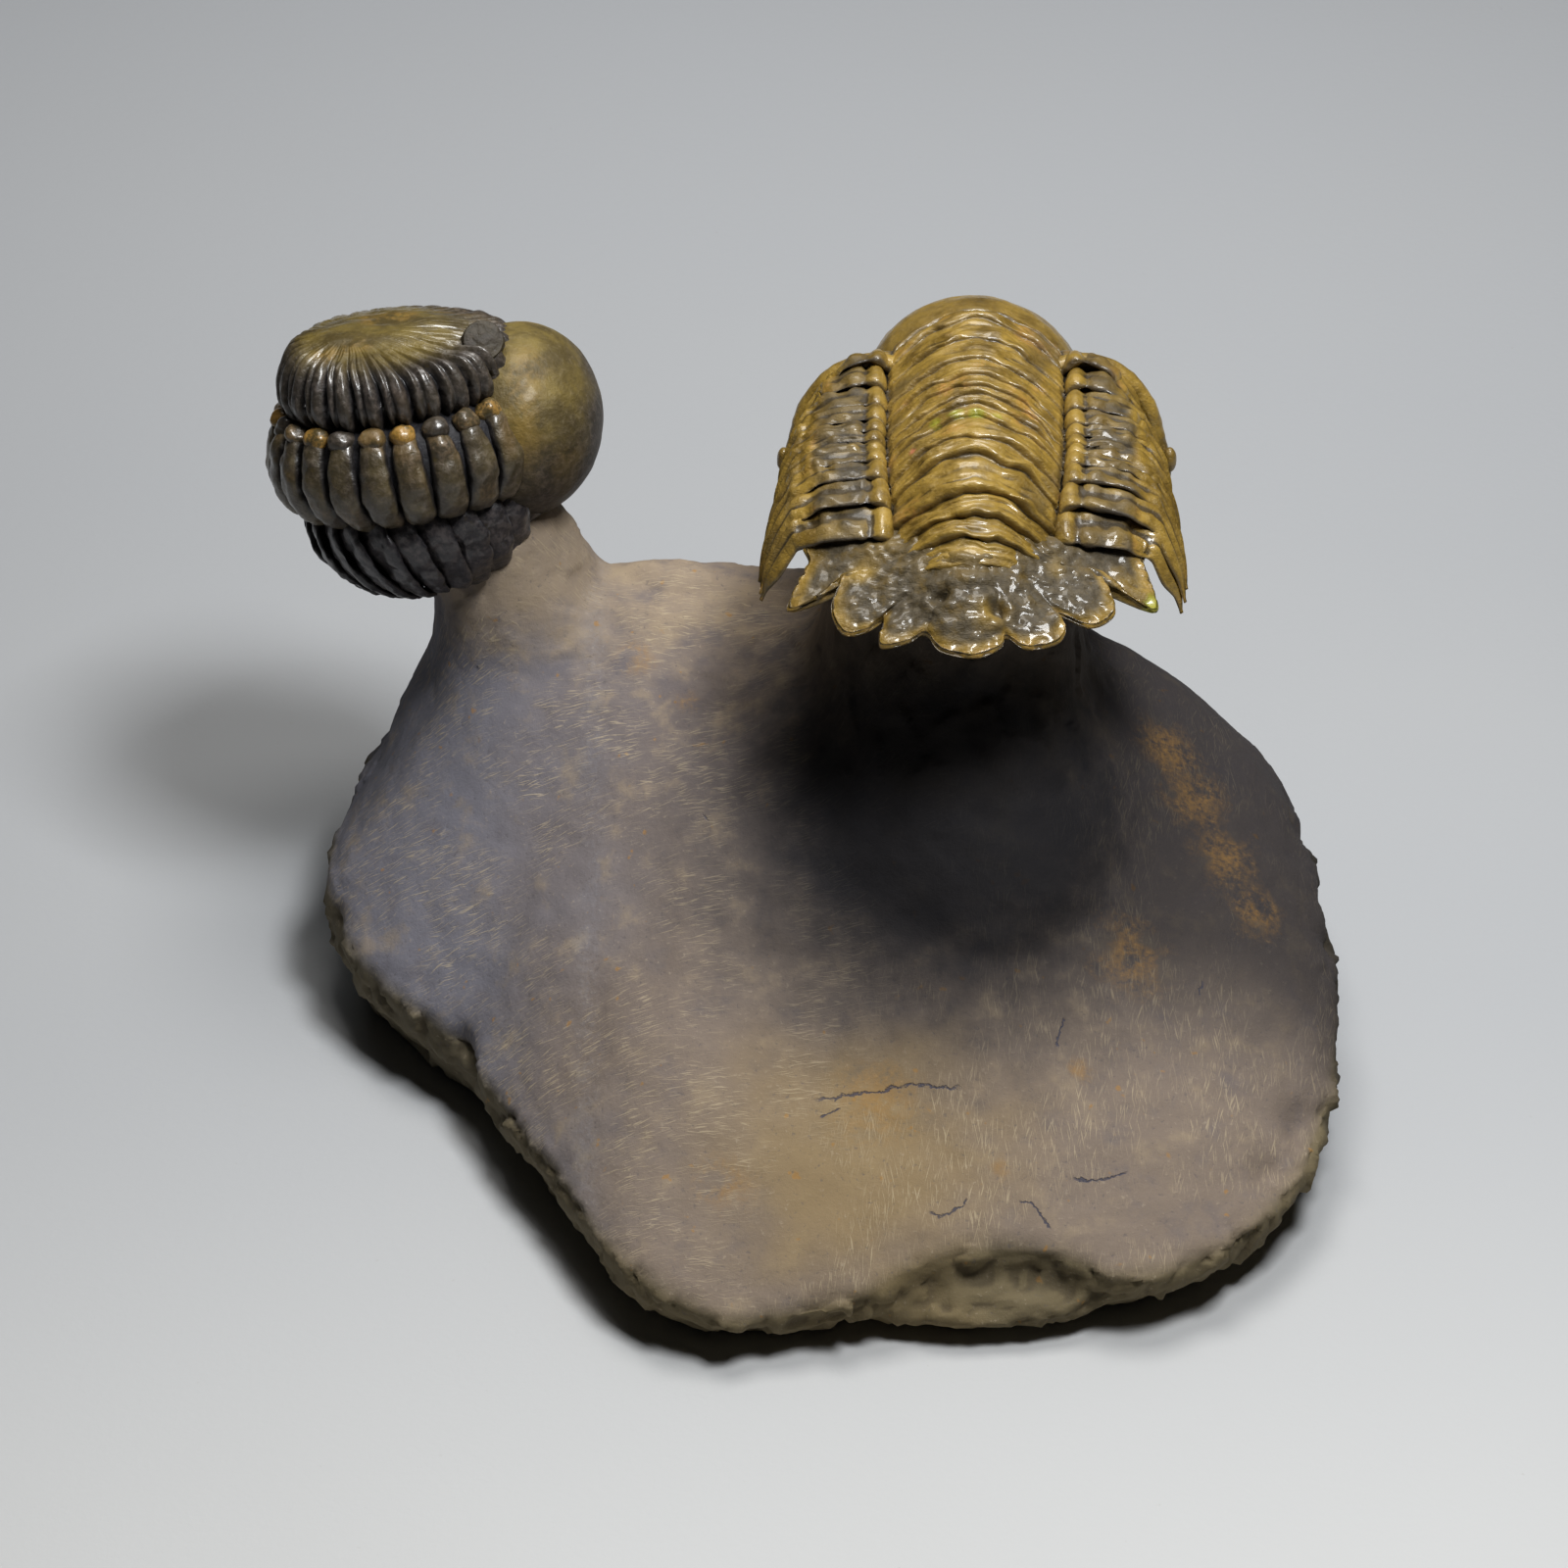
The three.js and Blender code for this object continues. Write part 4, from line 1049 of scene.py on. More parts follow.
def tail_relief(rows, relief):
    """Height of the tail's top: crossing wrinkles, two curls, the raised end of the axis, and the pits."""
    y = rows[..., 1]
    crease = cloud(rows * [0.5, 1.0, 1.0], 0.42, 71) * 0.6 + rough(rows, 0.8, 72, 2) * 0.9
    crease = crease + 0.9 * cloud(rows, 3.0, 73)
    curls = np.zeros(y.shape)
    for centre, seed in TAIL_SWIRLS:
        away = np.linalg.norm(rows - np.array(centre), axis=-1)
        curls += hill(away, 2.4) * np.sin(away * 7.0 + 2.0 * cloud(rows, 1.5, seed))
    ending = hill(rows[..., 0] - axis_x(y) + 0.5, 2.6) * smooth(-14.8, -12.6, y) * smooth(-5.0, -8.0, y)
    ending = ending * (0.75 + 0.14 * np.sin(y * 3.6))
    return relief * (0.14 * crease + 0.13 * curls) + ending - tail_pits(rows)


def tail_skin(settings, columns=560, rows_top=64, rows_under=20):
    """Tail shield: rays from a centre to a lobed edge, over the top, round the rim and back underneath.

    Near the centre the rays aim at the edge with its lobes smoothed away. Furrows run in from the notches.
    """
    place = np.arange(columns) / columns * len(TAIL_EDGE)
    edge = along(TAIL_EDGE, place, closed=True)
    brow = 1.0 - 0.03 * np.cos(np.linspace(0.5, 1.57, 5))[:-1]
    turn = np.linspace(0.0, math.pi, 9)[1:-1]
    rim = 0.975 + 0.025 * np.sin(turn)
    over = np.linspace(0.03, 0.97, rows_top)
    beneath = np.linspace(0.97, 0.05, rows_under)
    share = np.concatenate([over, brow, rim, beneath])[:, None]
    side = np.concatenate([np.ones(rows_top + len(brow)), np.cos(turn), -np.ones(rows_under)])[:, None]
    even = evened(edge, int(columns * 1.7 / len(TAIL_EDGE)))
    target = mix(even[None], edge[None], smooth(0.6, 0.97, share)[..., None])
    rows = TAIL_CENTRE + (target - TAIL_CENTRE) * share[..., None]
    notch = np.abs(place[:, None] - TAIL_NOTCHES).min(axis=1)[None]
    furrow = hill(notch, 0.22) * smooth(0.6, 0.9, share)
    arch = 1.15 * smooth(0.9, 0.1, share) - 0.25 * smooth(0.86, 1.0, share)
    arch = arch - 0.12 * furrow - 0.1 * hill(notch, 0.7) * smooth(0.4, 0.8, share)
    up = np.where(side > 0.0, arch, 0.0) + (0.42 + 0.3 * (1.0 - share)) * side
    rows[..., 2] += np.where(share > 0.965, up * 0.9, up)
    rows[..., 0] += axis_x(rows[..., 1])
    upper = (side > 0.3) * smooth(0.1, 0.3, share)
    rows = lifted(rows, upper * tail_relief(rows, settings.relief))
    patch = smooth(-1.1, 0.0, cloud(rows, 2.6, 76)) * (0.6 + 0.4 * smooth(0.2, 0.5, share))
    marks = {
        "slate": (1.0 - 0.85 * smooth(0.88, 0.96, share)) * patch,
        "furrow": furrow * 0.35 * (side > 0.0),
        "warm": 0.3 * smooth(0.9, 1.0, share),
    }
    return rows, marks


def tube_skin(path, radius, columns=28, steps=80, flat=1.0):
    """Round tube along a smooth path, its radius following a list of its own, closed at both ends."""
    place = np.linspace(0.0, len(path) - 1.0, steps)
    centre = along(path, place)
    size = along(np.asarray(radius, float), place)
    tangent = unit(np.gradient(centre, axis=0))
    first = unit(np.cross(tangent, TUBE_SIDE))
    second = np.cross(tangent, first)
    angle = round_angles(columns)[None, :, None]
    ring = first[:, None] * np.cos(angle) * flat + second[:, None] * np.sin(angle)
    return centre[:, None] + ring * size[:, None, None]


def build_rings(settings):
    """Axis of the outstretched trilobite."""
    body = Body()
    rows, marks = ring_skin(settings)
    body.skin(rows, **marks)
    return body.make("axis_rings", shell_finish(settings), OUTSTRETCHED)


def build_ribs(settings):
    """Eleven pairs of ribs with their hanging blades."""
    body = Body()
    for index in range(len(RIBS)):
        for side in (-1, 1):
            rows, marks = rib_skin(index, side)
            body.skin(rows, **marks)
    return body.make("ribs_and_blades", shell_finish(settings), OUTSTRETCHED)


def build_tail(settings):
    """Lobed tail shield."""
    body = Body()
    rows, marks = tail_skin(settings)
    body.skin(rows, **marks)
    return body.make("tail_shield", shell_finish(settings), OUTSTRETCHED)


def build_cheek(body, side):
    """One side of the head: pad, shield, rim and the eye stub with its knob."""

    def beside(spot):
        """A place out from the dome's middle, on this side."""
        return (GLABELLA[0][0] + side * spot[0], spot[1], spot[2])

    pad = ball_rows(beside(CHEEK_PAD), PAD_SIZE, 70, 90)
    body.skin(lifted(pad, grained(pad, *PAD_GRAIN)), slate=0.35)
    shield = ball_rows(beside(CHEEK_SHIELD), SHIELD_SIZE, 80, 100)
    patch = smooth(-0.2, 0.5, cloud(shield, 3.0, 83))
    body.skin(lifted(shield, grained(shield, *SHIELD_GRAIN)), slate=0.5 * patch)
    rim = tube_skin([beside(spot) for spot in CHEEK_RIM], RIM_RADIUS, 34, 110, 0.8)
    grain = 0.05 * cloud(rim * [1.0, 1.0, 1.6], 0.9, 87)
    body.skin(lifted(rim, grain), slate=0.3 * smooth(0.0, 0.5, cloud(rim, 2.5, 88)))
    root = np.array(beside(EYE_ROOT))
    tip = np.array(beside(EYE_STUB))
    stub = tube_skin([root, mix(root, tip, 0.5), tip, tip + (tip - root) * 0.12], EYE_RADIUS, 24, 24)
    body.skin(stub, warm=0.3)
    knob = ball_rows(tip, EYE_KNOB, 30, 36)
    body.skin(lifted(knob, 0.05 * cloud(knob, 0.6, 89)), slate=0.2)


def build_head(settings):
    """Domed head, and on each side a cheek with its rim and a short eye stub."""
    body = Body()
    dome = ball_rows(*GLABELLA, rows=130, columns=180)
    body.skin(lifted(dome, grained(dome, *DOME_GRAIN)), slate=0.15 + 0.2 * cloud(dome, 4.0, 85))
    for side in (-1, 1):
        build_cheek(body, side)
    return body.make("domed_head", shell_finish(settings), OUTSTRETCHED)


# Rolled-up trilobite.

# Middle of the roll, directions of its axis and its front, its number of ribs and the angle of the first.
ROLL_CENTRE = np.array([-35.2, 18.5, 44.6])
ROLL_AXIS = np.array([-0.15, 0.266, 0.952])
ROLL_FRONT = np.array([0.0, -0.96, 0.28])
ROLL_RIBS = 24
ROLL_PHASE = math.radians(41.4)

# Cap of the barrel, out from its own pole: distance from the roll's axis, and height. Its ridges run to
# an apex to the side and to the front. The profile is read at this many places, and the part under its
# widest circle at every eighth of them.
CAP_PROFILE = [
    (0.0, 11.0), (3.6, 10.9), (7.0, 10.0), (9.3, 8.7), (10.1, 6.8), (9.9, 5.2), (9.0, 4.4), (7.8, 4.0),
]
CAP_APEX = (-3.0, 2.8)
CAP_READINGS = 400
CAP_EDGE_STEP = 8

# Core under the ribs and blades: distance from the roll's axis, and height.
CORE_PROFILE = [
    (0.5, 6.0), (6.0, 5.6), (9.2, 4.2), (10.6, 3.2), (11.4, 0.8), (11.0, -1.8), (8.8, -3.4),
    (8.9, -5.0), (8.0, -8.0), (5.6, -11.0), (2.6, -12.0), (0.3, -12.2),
]

# Ribs and blades: path down the barrel's side, then half widths and half thicknesses along it.
RIB_PROFILE = [(9.2, 3.9), (10.3, 3.1), (11.2, 1.9), (11.6, 0.0), (10.9, -2.2), (9.6, -3.5), (8.4, -4.0)]
RIB_WIDTHS = (0.75, 1.05, 1.3, 1.42, 1.3, 0.8)
RIB_DEPTHS = (0.5, 1.05, 0.8, 1.05, 0.95, 0.45)
RIB_LEAN = 0.03
BLADE_PROFILE = [(8.2, -3.0), (9.3, -4.6), (9.4, -6.6), (8.5, -8.8), (6.7, -10.9), (4.4, -12.1)]
BLADE_WIDTHS = (1.4, 1.65, 1.6, 1.4, 1.1, 0.7)
BLADE_DEPTHS = (0.4, 0.6, 0.55, 0.5, 0.4, 0.2)
BLADE_LEAN = 0.34
BLADE_TILT = 0.34

# The head covers the ribs between these angles.
COVERED = (math.radians(58.0), math.radians(118.0))

# Beads over the ribs: half sizes, distance from the roll's axis, height, and how amber each third one is.
BEAD_SIZE = (1.15, 1.1, 1.0)
BEAD_OUT = 10.3
BEAD_HIGH = 3.75
BEAD_AMBER = (1.0, 0.05, 0.5)

# Head: middle and half sizes of the dome. Eye stub: height, distance from the roll's axis, angle and aim.
ROLL_DOME = ((-26.1, 19.8, 46.0), (7.2, 8.4, 8.3))
STUB_PLACE = (8.35, 8.2, math.radians(70.0))
STUB_AIM = np.array([0.15, -0.66, 0.74])
STUB_STOPS = (-1.9, -0.8, 0.3, 1.1, 1.5, 1.62, 1.66)
STUB_RADIUS = (2.2, 1.95, 1.8, 1.76, 1.7, 1.45, 0.4)

# Noise on the beads, the head's dome and the eye stub: height, size of a patch, seed and number of layers.
BEAD_GRAIN = [(0.24, 1.0, 107, 1), (0.06, 0.4, 108, 1)]
ROLL_DOME_GRAIN = [(0.1, 3.2, 121, 3), (0.025, 0.6, 124, 1)]
STUB_GRAIN = [(0.1, 0.9, 127, 1), (0.06, 0.4, 128, 1)]


def roll_frame():
    """The roll's own axis and the directions to its front and to its side."""
    axis = unit(ROLL_AXIS)
    front = unit(ROLL_FRONT - axis * (ROLL_FRONT @ axis))
    return axis, front, np.cross(axis, front)


def in_roll(side, forward, high):
    """Point of the roll: to its side, to its front and up its own axis."""
    axis, front, right = roll_frame()
    side, forward, high = np.broadcast_arrays(side, forward, high)
    return ROLL_CENTRE + axis * high[..., None] + right * side[..., None] + front * forward[..., None]


def on_roll(angle, out, high):
    """Point of the roll at an angle round it, out from its axis and up along it."""
    return in_roll(out * np.sin(angle), out * np.cos(angle), high)


def rib_angles():
    """Angle round the roll of the middle of each rib."""
    return [ROLL_PHASE + TURN / ROLL_RIBS * (index + 0.5) for index in range(ROLL_RIBS)]


def cap_rows(angle, steps):
    """Cap before its ridges, and each row's share of the way from the apex to the barrel's edge.

    In plan the rays are straight lines from the apex to the widest circle. The height is read from the
    profile at each point's distance from the axis, less a slope to the side.
    """
    line = walked(CAP_PROFILE, CAP_READINGS)
    widest = int(np.argmax(line[:, 0]))
    reach = np.linspace(0.02, 1.0, steps)[:, None]
    side = mix(CAP_APEX[0], line[widest, 0] * np.sin(angle), reach)
    forward = mix(CAP_APEX[1], line[widest, 0] * np.cos(angle), reach)
    high = np.interp(np.hypot(side, forward), line[:widest + 1, 0], line[:widest + 1, 1])
    lower = line[widest + 1::CAP_EDGE_STEP]
    side = np.concatenate([side, lower[:, :1] * np.sin(angle)])
    forward = np.concatenate([forward, lower[:, :1] * np.cos(angle)])
    high = np.concatenate([high, np.broadcast_to(lower[:, 1:], (len(lower), len(angle)))])
    run = np.concatenate([reach, 1.0 + np.arange(1, len(lower) + 1)[:, None] / len(lower) * 0.35])
    high = high - (0.12 * side + 0.2) * smooth(1.0, 0.7, run)
    return in_roll(side, forward, high), run


def cap_skin(settings, columns=528, steps=110):
    """Cap with a raised ridge for each ring, which sinks to a joint on both sides and has a crease on it.

    The ridges grow from the apex to the edge, and fade at the back, where they are worn.
    """
    angle = ROLL_PHASE + np.arange(columns) / columns * TURN
    rows, run = cap_rows(angle, steps)
    bend = 0.10 * run * cloud(rows, 5.0, 91)
    phase = ((angle - ROLL_PHASE) / TURN * ROLL_RIBS + bend) % 1.0
    joint = hill(np.minimum(phase, 1.0 - phase), 0.13)
    crease = hill(phase - 0.42, 0.08)
    unworn = 0.2 + 0.8 * smooth(-0.75, 0.1, np.cos(angle))
    strength = smooth(0.42, 0.95, run) * unworn
    early = smooth(0.25, 0.6, run) * unworn
    fine = np.sin((angle - ROLL_PHASE) * ROLL_RIBS * 4.0 + 6.0 * cloud(rows, 2.5, 92)) * early
    swell = 0.5 * smooth(0.85, 1.05, run) * (phase - 0.5)
    height = 0.3 * strength + swell - strength * (0.75 * joint + 0.35 * crease) - early * 0.12 * joint
    height = height + 0.035 * fine + 0.12 * cloud(rows, 2.6, 93) + 0.06 * cloud(rows, 0.8, 94)
    rows = lifted(rows, height * settings.relief)
    marks = {
        "furrow": strength * smooth(0.4, 0.95, joint) + 0.4 * strength * crease,
        "slate": 0.85 * smooth(0.5, 0.95, run),
        "warm": smooth(0.3, 0.8, cloud(rows, 3.2, 95)) * 0.3,
    }
    return rows, marks


def core_skin(columns=96, steps=70):
    """Core of the barrel: a profile turned round the roll's axis."""
    line = walked(CORE_PROFILE, steps)
    return on_roll(round_angles(columns), line[:, :1], line[:, 1:])


def strip_skin(profile, angle, widths, depths, columns, lean, tilt=0.0, steps=60):
    """Rib or blade of the roll, and how far across it each column lies, from -1 to 1.

    A ring of points (cos, sin^0.8), flatter below, is carried down the barrel's side. Lean turns its path
    round the barrel on the way down, and tilt raises one side of it over its neighbour.
    """
    place = np.linspace(0.0, len(profile) - 1.0, steps)
    line = along(profile, place)
    share = place / place[-1]
    turn = angle + lean * share
    centre = on_roll(turn, line[:, 0], line[:, 1])
    _, front, right = roll_frame()
    across = right * np.cos(turn)[:, None] - front * np.sin(turn)[:, None]
    normal = unit(np.cross(across, np.gradient(centre, axis=0)))
    normal *= np.sign(((centre - ROLL_CENTRE)[steps // 2] * normal[steps // 2]).sum())
    width = along(widths, share * (len(widths) - 1.0))
    depth = along(depths, share * (len(depths) - 1.0))
    ring = round_angles(columns)
    reach = np.cos(ring)
    rise = np.where(np.sin(ring) > 0.0, np.abs(np.sin(ring)) ** 0.8, -0.6 * np.abs(np.sin(ring)))
    rows = centre[:, None] + across[:, None] * (reach[None] * width[:, None])[..., None]
    lift_up = rise[None] * depth[:, None] + tilt * reach[None] * width[:, None]
    return rows + normal[:, None] * lift_up[..., None], reach


def build_cap(settings):
    """Cap of the rolled-up trilobite over the barrel's core, which is painted near-black as shade in the gaps
    between the ribs.
    """
    body = Body()
    rows, marks = cap_skin(settings)
    body.skin(rows, **marks)
    # Painted shade: the core shows only in the gaps between ribs and beads, so it is painted as dark as the
    # furrows and dark slate, and matt.
    body.skin(core_skin(), furrow=1.0, slate=1.0, matt=1.0)
    return body.make("rolled_cap", rolled_finish(settings), ROLLED)


def build_roll_ribs(settings):
    """Swollen ribs round the barrel, each under a bead, apart from those that the head covers."""
    body = Body()
    for index, angle in enumerate(rib_angles()):
        if COVERED[0] < angle % TURN < COVERED[1]:
            continue
        rows, reach = strip_skin(RIB_PROFILE, angle, RIB_WIDTHS, RIB_DEPTHS, 32, RIB_LEAN)
        grain = 0.16 * rough(rows, 1.6, 101) + 0.07 * cloud(rows * [1.6, 1.6, 0.5], 0.7, 103)
        warm = 0.35 * smooth(0.2, 0.7, cloud(rows, 2.2, 105))
        body.skin(lifted(rows, grain), furrow=smooth(0.8, 0.98, np.abs(reach)), warm=warm, slate=0.62)
        bead = ball_rows(on_roll(angle, BEAD_OUT, BEAD_HIGH), BEAD_SIZE, 26, 30)
        amber = BEAD_AMBER[index % len(BEAD_AMBER)]
        body.skin(lifted(bead, grained(bead, *BEAD_GRAIN)), warm=amber, slate=0.85 - 0.6 * amber)
    return body.make("rolled_ribs", rolled_finish(settings), ROLLED)


def build_roll_blades(settings):
    """Slate-dark blades that close the barrel below, each over its neighbour."""
    body = Body()
    for angle in rib_angles():
        rows, reach = strip_skin(BLADE_PROFILE, angle, BLADE_WIDTHS, BLADE_DEPTHS, 28, BLADE_LEAN, BLADE_TILT)
        grain = 0.2 * rough(rows, 1.5, 111) + 0.08 * cloud(rows * [1.4, 1.4, 0.5], 0.6, 113)
        body.skin(lifted(rows, grain), slate=1.0, furrow=0.7 * smooth(0.7, 1.0, np.abs(reach)))
    return body.make("rolled_blades", rolled_finish(settings), ROLLED)


def build_roll_head(settings):
    """Smooth domed head, with painted shade on its lower right, and the blunt eye stub beside it."""
    body = Body()
    dome = ball_rows(*ROLL_DOME, rows=140, columns=190)
    offset = dome - np.array(ROLL_DOME[0])
    # Painted shade: the slate colours darken the dome towards its lower right, the edge wandering with noise.
    shaded_lower_right = offset[..., 0] - 0.9 * offset[..., 2] + 4.0 * cloud(dome, 3.6, 126)
    marks = {
        "warm": 0.2 * smooth(0.0, 0.7, cloud(dome, 4.2, 125)),
        "slate": 0.8 * smooth(-4.0, 6.0, shaded_lower_right),
        "matt": 0.85,
    }
    body.skin(lifted(dome, grained(dome, *ROLL_DOME_GRAIN)), **marks)
    high, out, turn = STUB_PLACE
    foot = on_roll(turn, out, high)
    stub = tube_skin([foot + unit(STUB_AIM) * stop for stop in STUB_STOPS], STUB_RADIUS, 54, 70)
    body.skin(lifted(stub, grained(stub, *STUB_GRAIN)), slate=0.6, furrow=0.5, matt=1.0)
    return body.make("rolled_head", rolled_finish(settings), ROLLED)


# Finishes of the three materials and of the floor.

# Colours of the mudstone.
STONE_BACK = colour(0.18, 0.152, 0.142)
STONE_FRONT = colour(0.235, 0.188, 0.15)
STONE_LEFT_COOL_LIGHT = colour(0.19, 0.185, 0.21)
PEDESTAL_PALE = colour(0.37, 0.29, 0.20)
# Bluish tint of the painted cool fill light on the block's left flank.
MOTTLE_PALE = colour(0.34, 0.27, 0.185)
MOTTLE_DARK = colour(0.145, 0.13, 0.14)
STREAK_BLUE = colour(0.27, 0.29, 0.34)
BROKEN_BROWN = colour(0.165, 0.135, 0.07)
YELLOW_OCHRE = colour(0.30, 0.215, 0.095)
FLECK_ORANGE = colour(0.36, 0.2, 0.06)
SCRATCH_PALE = colour(0.52, 0.43, 0.29)
GRAIN_PALE = colour(0.44, 0.37, 0.28)
GRAIN_DARK = colour(0.11, 0.10, 0.105)
# Near-black of the painted shadow under the outstretched trilobite's tail.
SHADOW_BLACK = colour(0.012, 0.012, 0.015)
RUST = colour(0.34, 0.19, 0.05)
CRACK_BLUE = colour(0.05, 0.055, 0.09)
HOLLOW_SHADE_BROWN = colour(0.07, 0.055, 0.04)

# Places on the mudstone: middle of the yellow area, of the painted shadow under the outstretched trilobite's
# tail, and the blue streak's x.
YELLOW_PLACE = (4.0, -37.0, 12.0)
SHADOW_PLACE = (10.5, -9.0, 26.0)
STREAK_X = -19.6

# Rust spots on the stone, with their radius in millimetres.
RUST_SPOTS = [
    ((-8.2, -37.8, 11.2), 3.2), ((4.0, -31.5, 14.5), 5.0), ((20.4, -28.5, 15.0), 1.7),
    ((-11.8, 3.5, 28.7), 1.6), ((13.8, -36.4, 11.5), 1.5), ((25.5, -19.0, 19.5), 4.6),
    ((29.3, 1.5, 24.6), 4.2), ((31.7, -2.3, 22.8), 4.4), ((33.9, -7.0, 20.2), 4.0),
    ((36.3, -10.8, 17.2), 3.4), ((-16.0, 7.6, 30.0), 2.4),
]

# Fine cracks: middle of the crack, centre of its arc, half its length.
CRACKS = [
    ((4.8, -30.0, 15.0), (6.0, -62.0, 15.0), 6.4), ((9.9, -39.8, 9.6), (9.0, -37.6, 9.6), 1.9),
    ((17.0, -39.3, 9.4), (15.4, -41.6, 9.4), 1.9), ((-9.6, -7.4, 25.2), (-14.0, -12.0, 25.2), 1.2),
    ((18.8, -25.7, 16.8), (26.0, -28.0, 16.8), 1.6), ((30.8, -20.0, 17.1), (38.0, -22.0, 17.1), 1.6),
    ((-15.3, -11.7, 22.3), (-12.0, -14.0, 22.3), 0.9), ((0.1, -31.9, 13.8), (3.0, -36.0, 13.8), 1.2),
    ((22.0, -36.6, 10.6), (20.0, -30.0, 10.6), 2.4), ((3.2, -23.4, 18.6), (6.0, -19.0, 18.6), 1.0),
]

# Tool scratches: turn of a set about z in radians, and their length in millimetres.
SCRATCH_WIDTH = 0.1
SCRATCH_HEIGHT = 1.2
SCRATCHES_RIGHT = [(-0.2, 2.24), (0.05, 1.82), (0.3, 1.68)]
SCRATCHES_LEFT = [(1.35, 1.68), (1.5, 1.96), (1.7, 1.54)]

# Colours of the outstretched trilobite's shell.
SHELL_BROWN = colour(0.125, 0.078, 0.014)
SHELL_OCHRE = colour(0.35, 0.232, 0.05)
SHELL_CREAM = colour(0.50, 0.36, 0.15)
SHELL_ORANGE = colour(0.44, 0.20, 0.05)
SHELL_SLATE_DARK = colour(0.044, 0.037, 0.027)
SHELL_SLATE = colour(0.09, 0.074, 0.05)
SHELL_HOLLOW_SHADE = colour(0.045, 0.032, 0.014)
SHELL_FURROW = colour(0.03, 0.03, 0.036)
SHELL_SPECK = colour(0.07, 0.05, 0.022)
LIME = colour(0.33, 0.36, 0.03)
PINK = colour(0.62, 0.22, 0.14)
BLACK = colour(0.01, 0.01, 0.01)

# Single coloured spots on the outstretched trilobite: place, radius, colour and strength.
SHELL_SPOTS = [
    ((26.2, -8.8, 46.9), 1.3, LIME, 0.6), ((26.6, -9.3, 46.5), 0.5, BLACK, 0.9),
    ((9.0, 5.2, 55.0), 0.8, LIME, 0.5), ((10.6, 5.4, 55.8), 0.9, LIME, 0.55),
    ((12.2, 5.4, 56.2), 0.9, LIME, 0.5), ((13.9, 5.4, 55.9), 0.8, LIME, 0.45),
    ((7.2, 2.9, 53.7), 0.6, PINK, 0.75), ((8.0, 3.6, 54.2), 0.6, PINK, 0.7),
]

# Colours of the rolled-up trilobite's shell.
ROLLED_BROWN = colour(0.10, 0.074, 0.026)
ROLLED_OLIVE = colour(0.20, 0.15, 0.045)
ROLLED_CREAM = colour(0.28, 0.225, 0.12)
ROLLED_AMBER = colour(0.50, 0.28, 0.055)
ROLLED_SLATE_DARK = colour(0.034, 0.031, 0.034)
ROLLED_SLATE = colour(0.095, 0.082, 0.08)
ROLLED_HOLLOW_SHADE = colour(0.02, 0.016, 0.012)
ROLLED_FURROW = colour(0.014, 0.014, 0.018)

# Colours of the paper floor, with painted light: brightest near the front, shaded in the middle, a little
# lighter again far back.
PAPER_NEAR_LIT = colour(0.66, 0.66, 0.65)
PAPER_MIDDLE_SHADED = colour(0.43, 0.44, 0.455)
PAPER_FAR_LIT = colour(0.56, 0.575, 0.60)
PAPER_CLOUD = colour(0.52, 0.52, 0.51)
PAPER_FLECK = colour(0.36, 0.34, 0.30)
WORLD_ORIGIN = (0.0, 0.0, 0.0)


def greatest(values):
    """The greatest of several values."""
    return reduce(Value.most, values)


def stone_scratches(finish, place, right):
    """Tool scratches: noise drawn out along a few directions, with sets of their own on the right."""
    lines = []
    for scratches, area in ((SCRATCHES_RIGHT, right), (SCRATCHES_LEFT, 1.0 - right)):
        for turn, length in scratches:
            drawn = finish.stretched(place, (SCRATCH_WIDTH, length, SCRATCH_HEIGHT), turn)
            lines.append(finish.rise(finish.noise(drawn, 1.0, 0.0), 0.65, 0.82) * area)
    patches = finish.rise(finish.noise(place, 7.0, 2.0), 0.38, 0.6)
    return greatest(lines) * patches


def stone_rust(finish, place, mottle):
    """Rust: round spots whose edges wander with the mottle."""
    spots = []
    for spot, radius in RUST_SPOTS:
        away = finish.far(place, spot) + (mottle - 0.5) * radius * 3.0
        spots.append(finish.rise(away, radius, radius * 0.3))
    return greatest(spots)


def stone_cracks(finish, place, mottle, grain):
    """Fine cracks: thin arcs that wander with the noise and stop at half their length from the middle."""
    wander = (mottle - 0.5) * 2.4 + (grain - 0.5) * 0.5
    worn = finish.rise(grain, 0.3, 0.5)
    lines = []
    for middle, centre, reach in CRACKS:
        off_line = (finish.far(place, centre) - math.dist(middle, centre) + wander).distance()
        ends = finish.rise(finish.far(place, middle), reach, reach * 0.8)
        lines.append(finish.rise(off_line, 0.13, 0.04) * worn * ends)
    return greatest(lines)


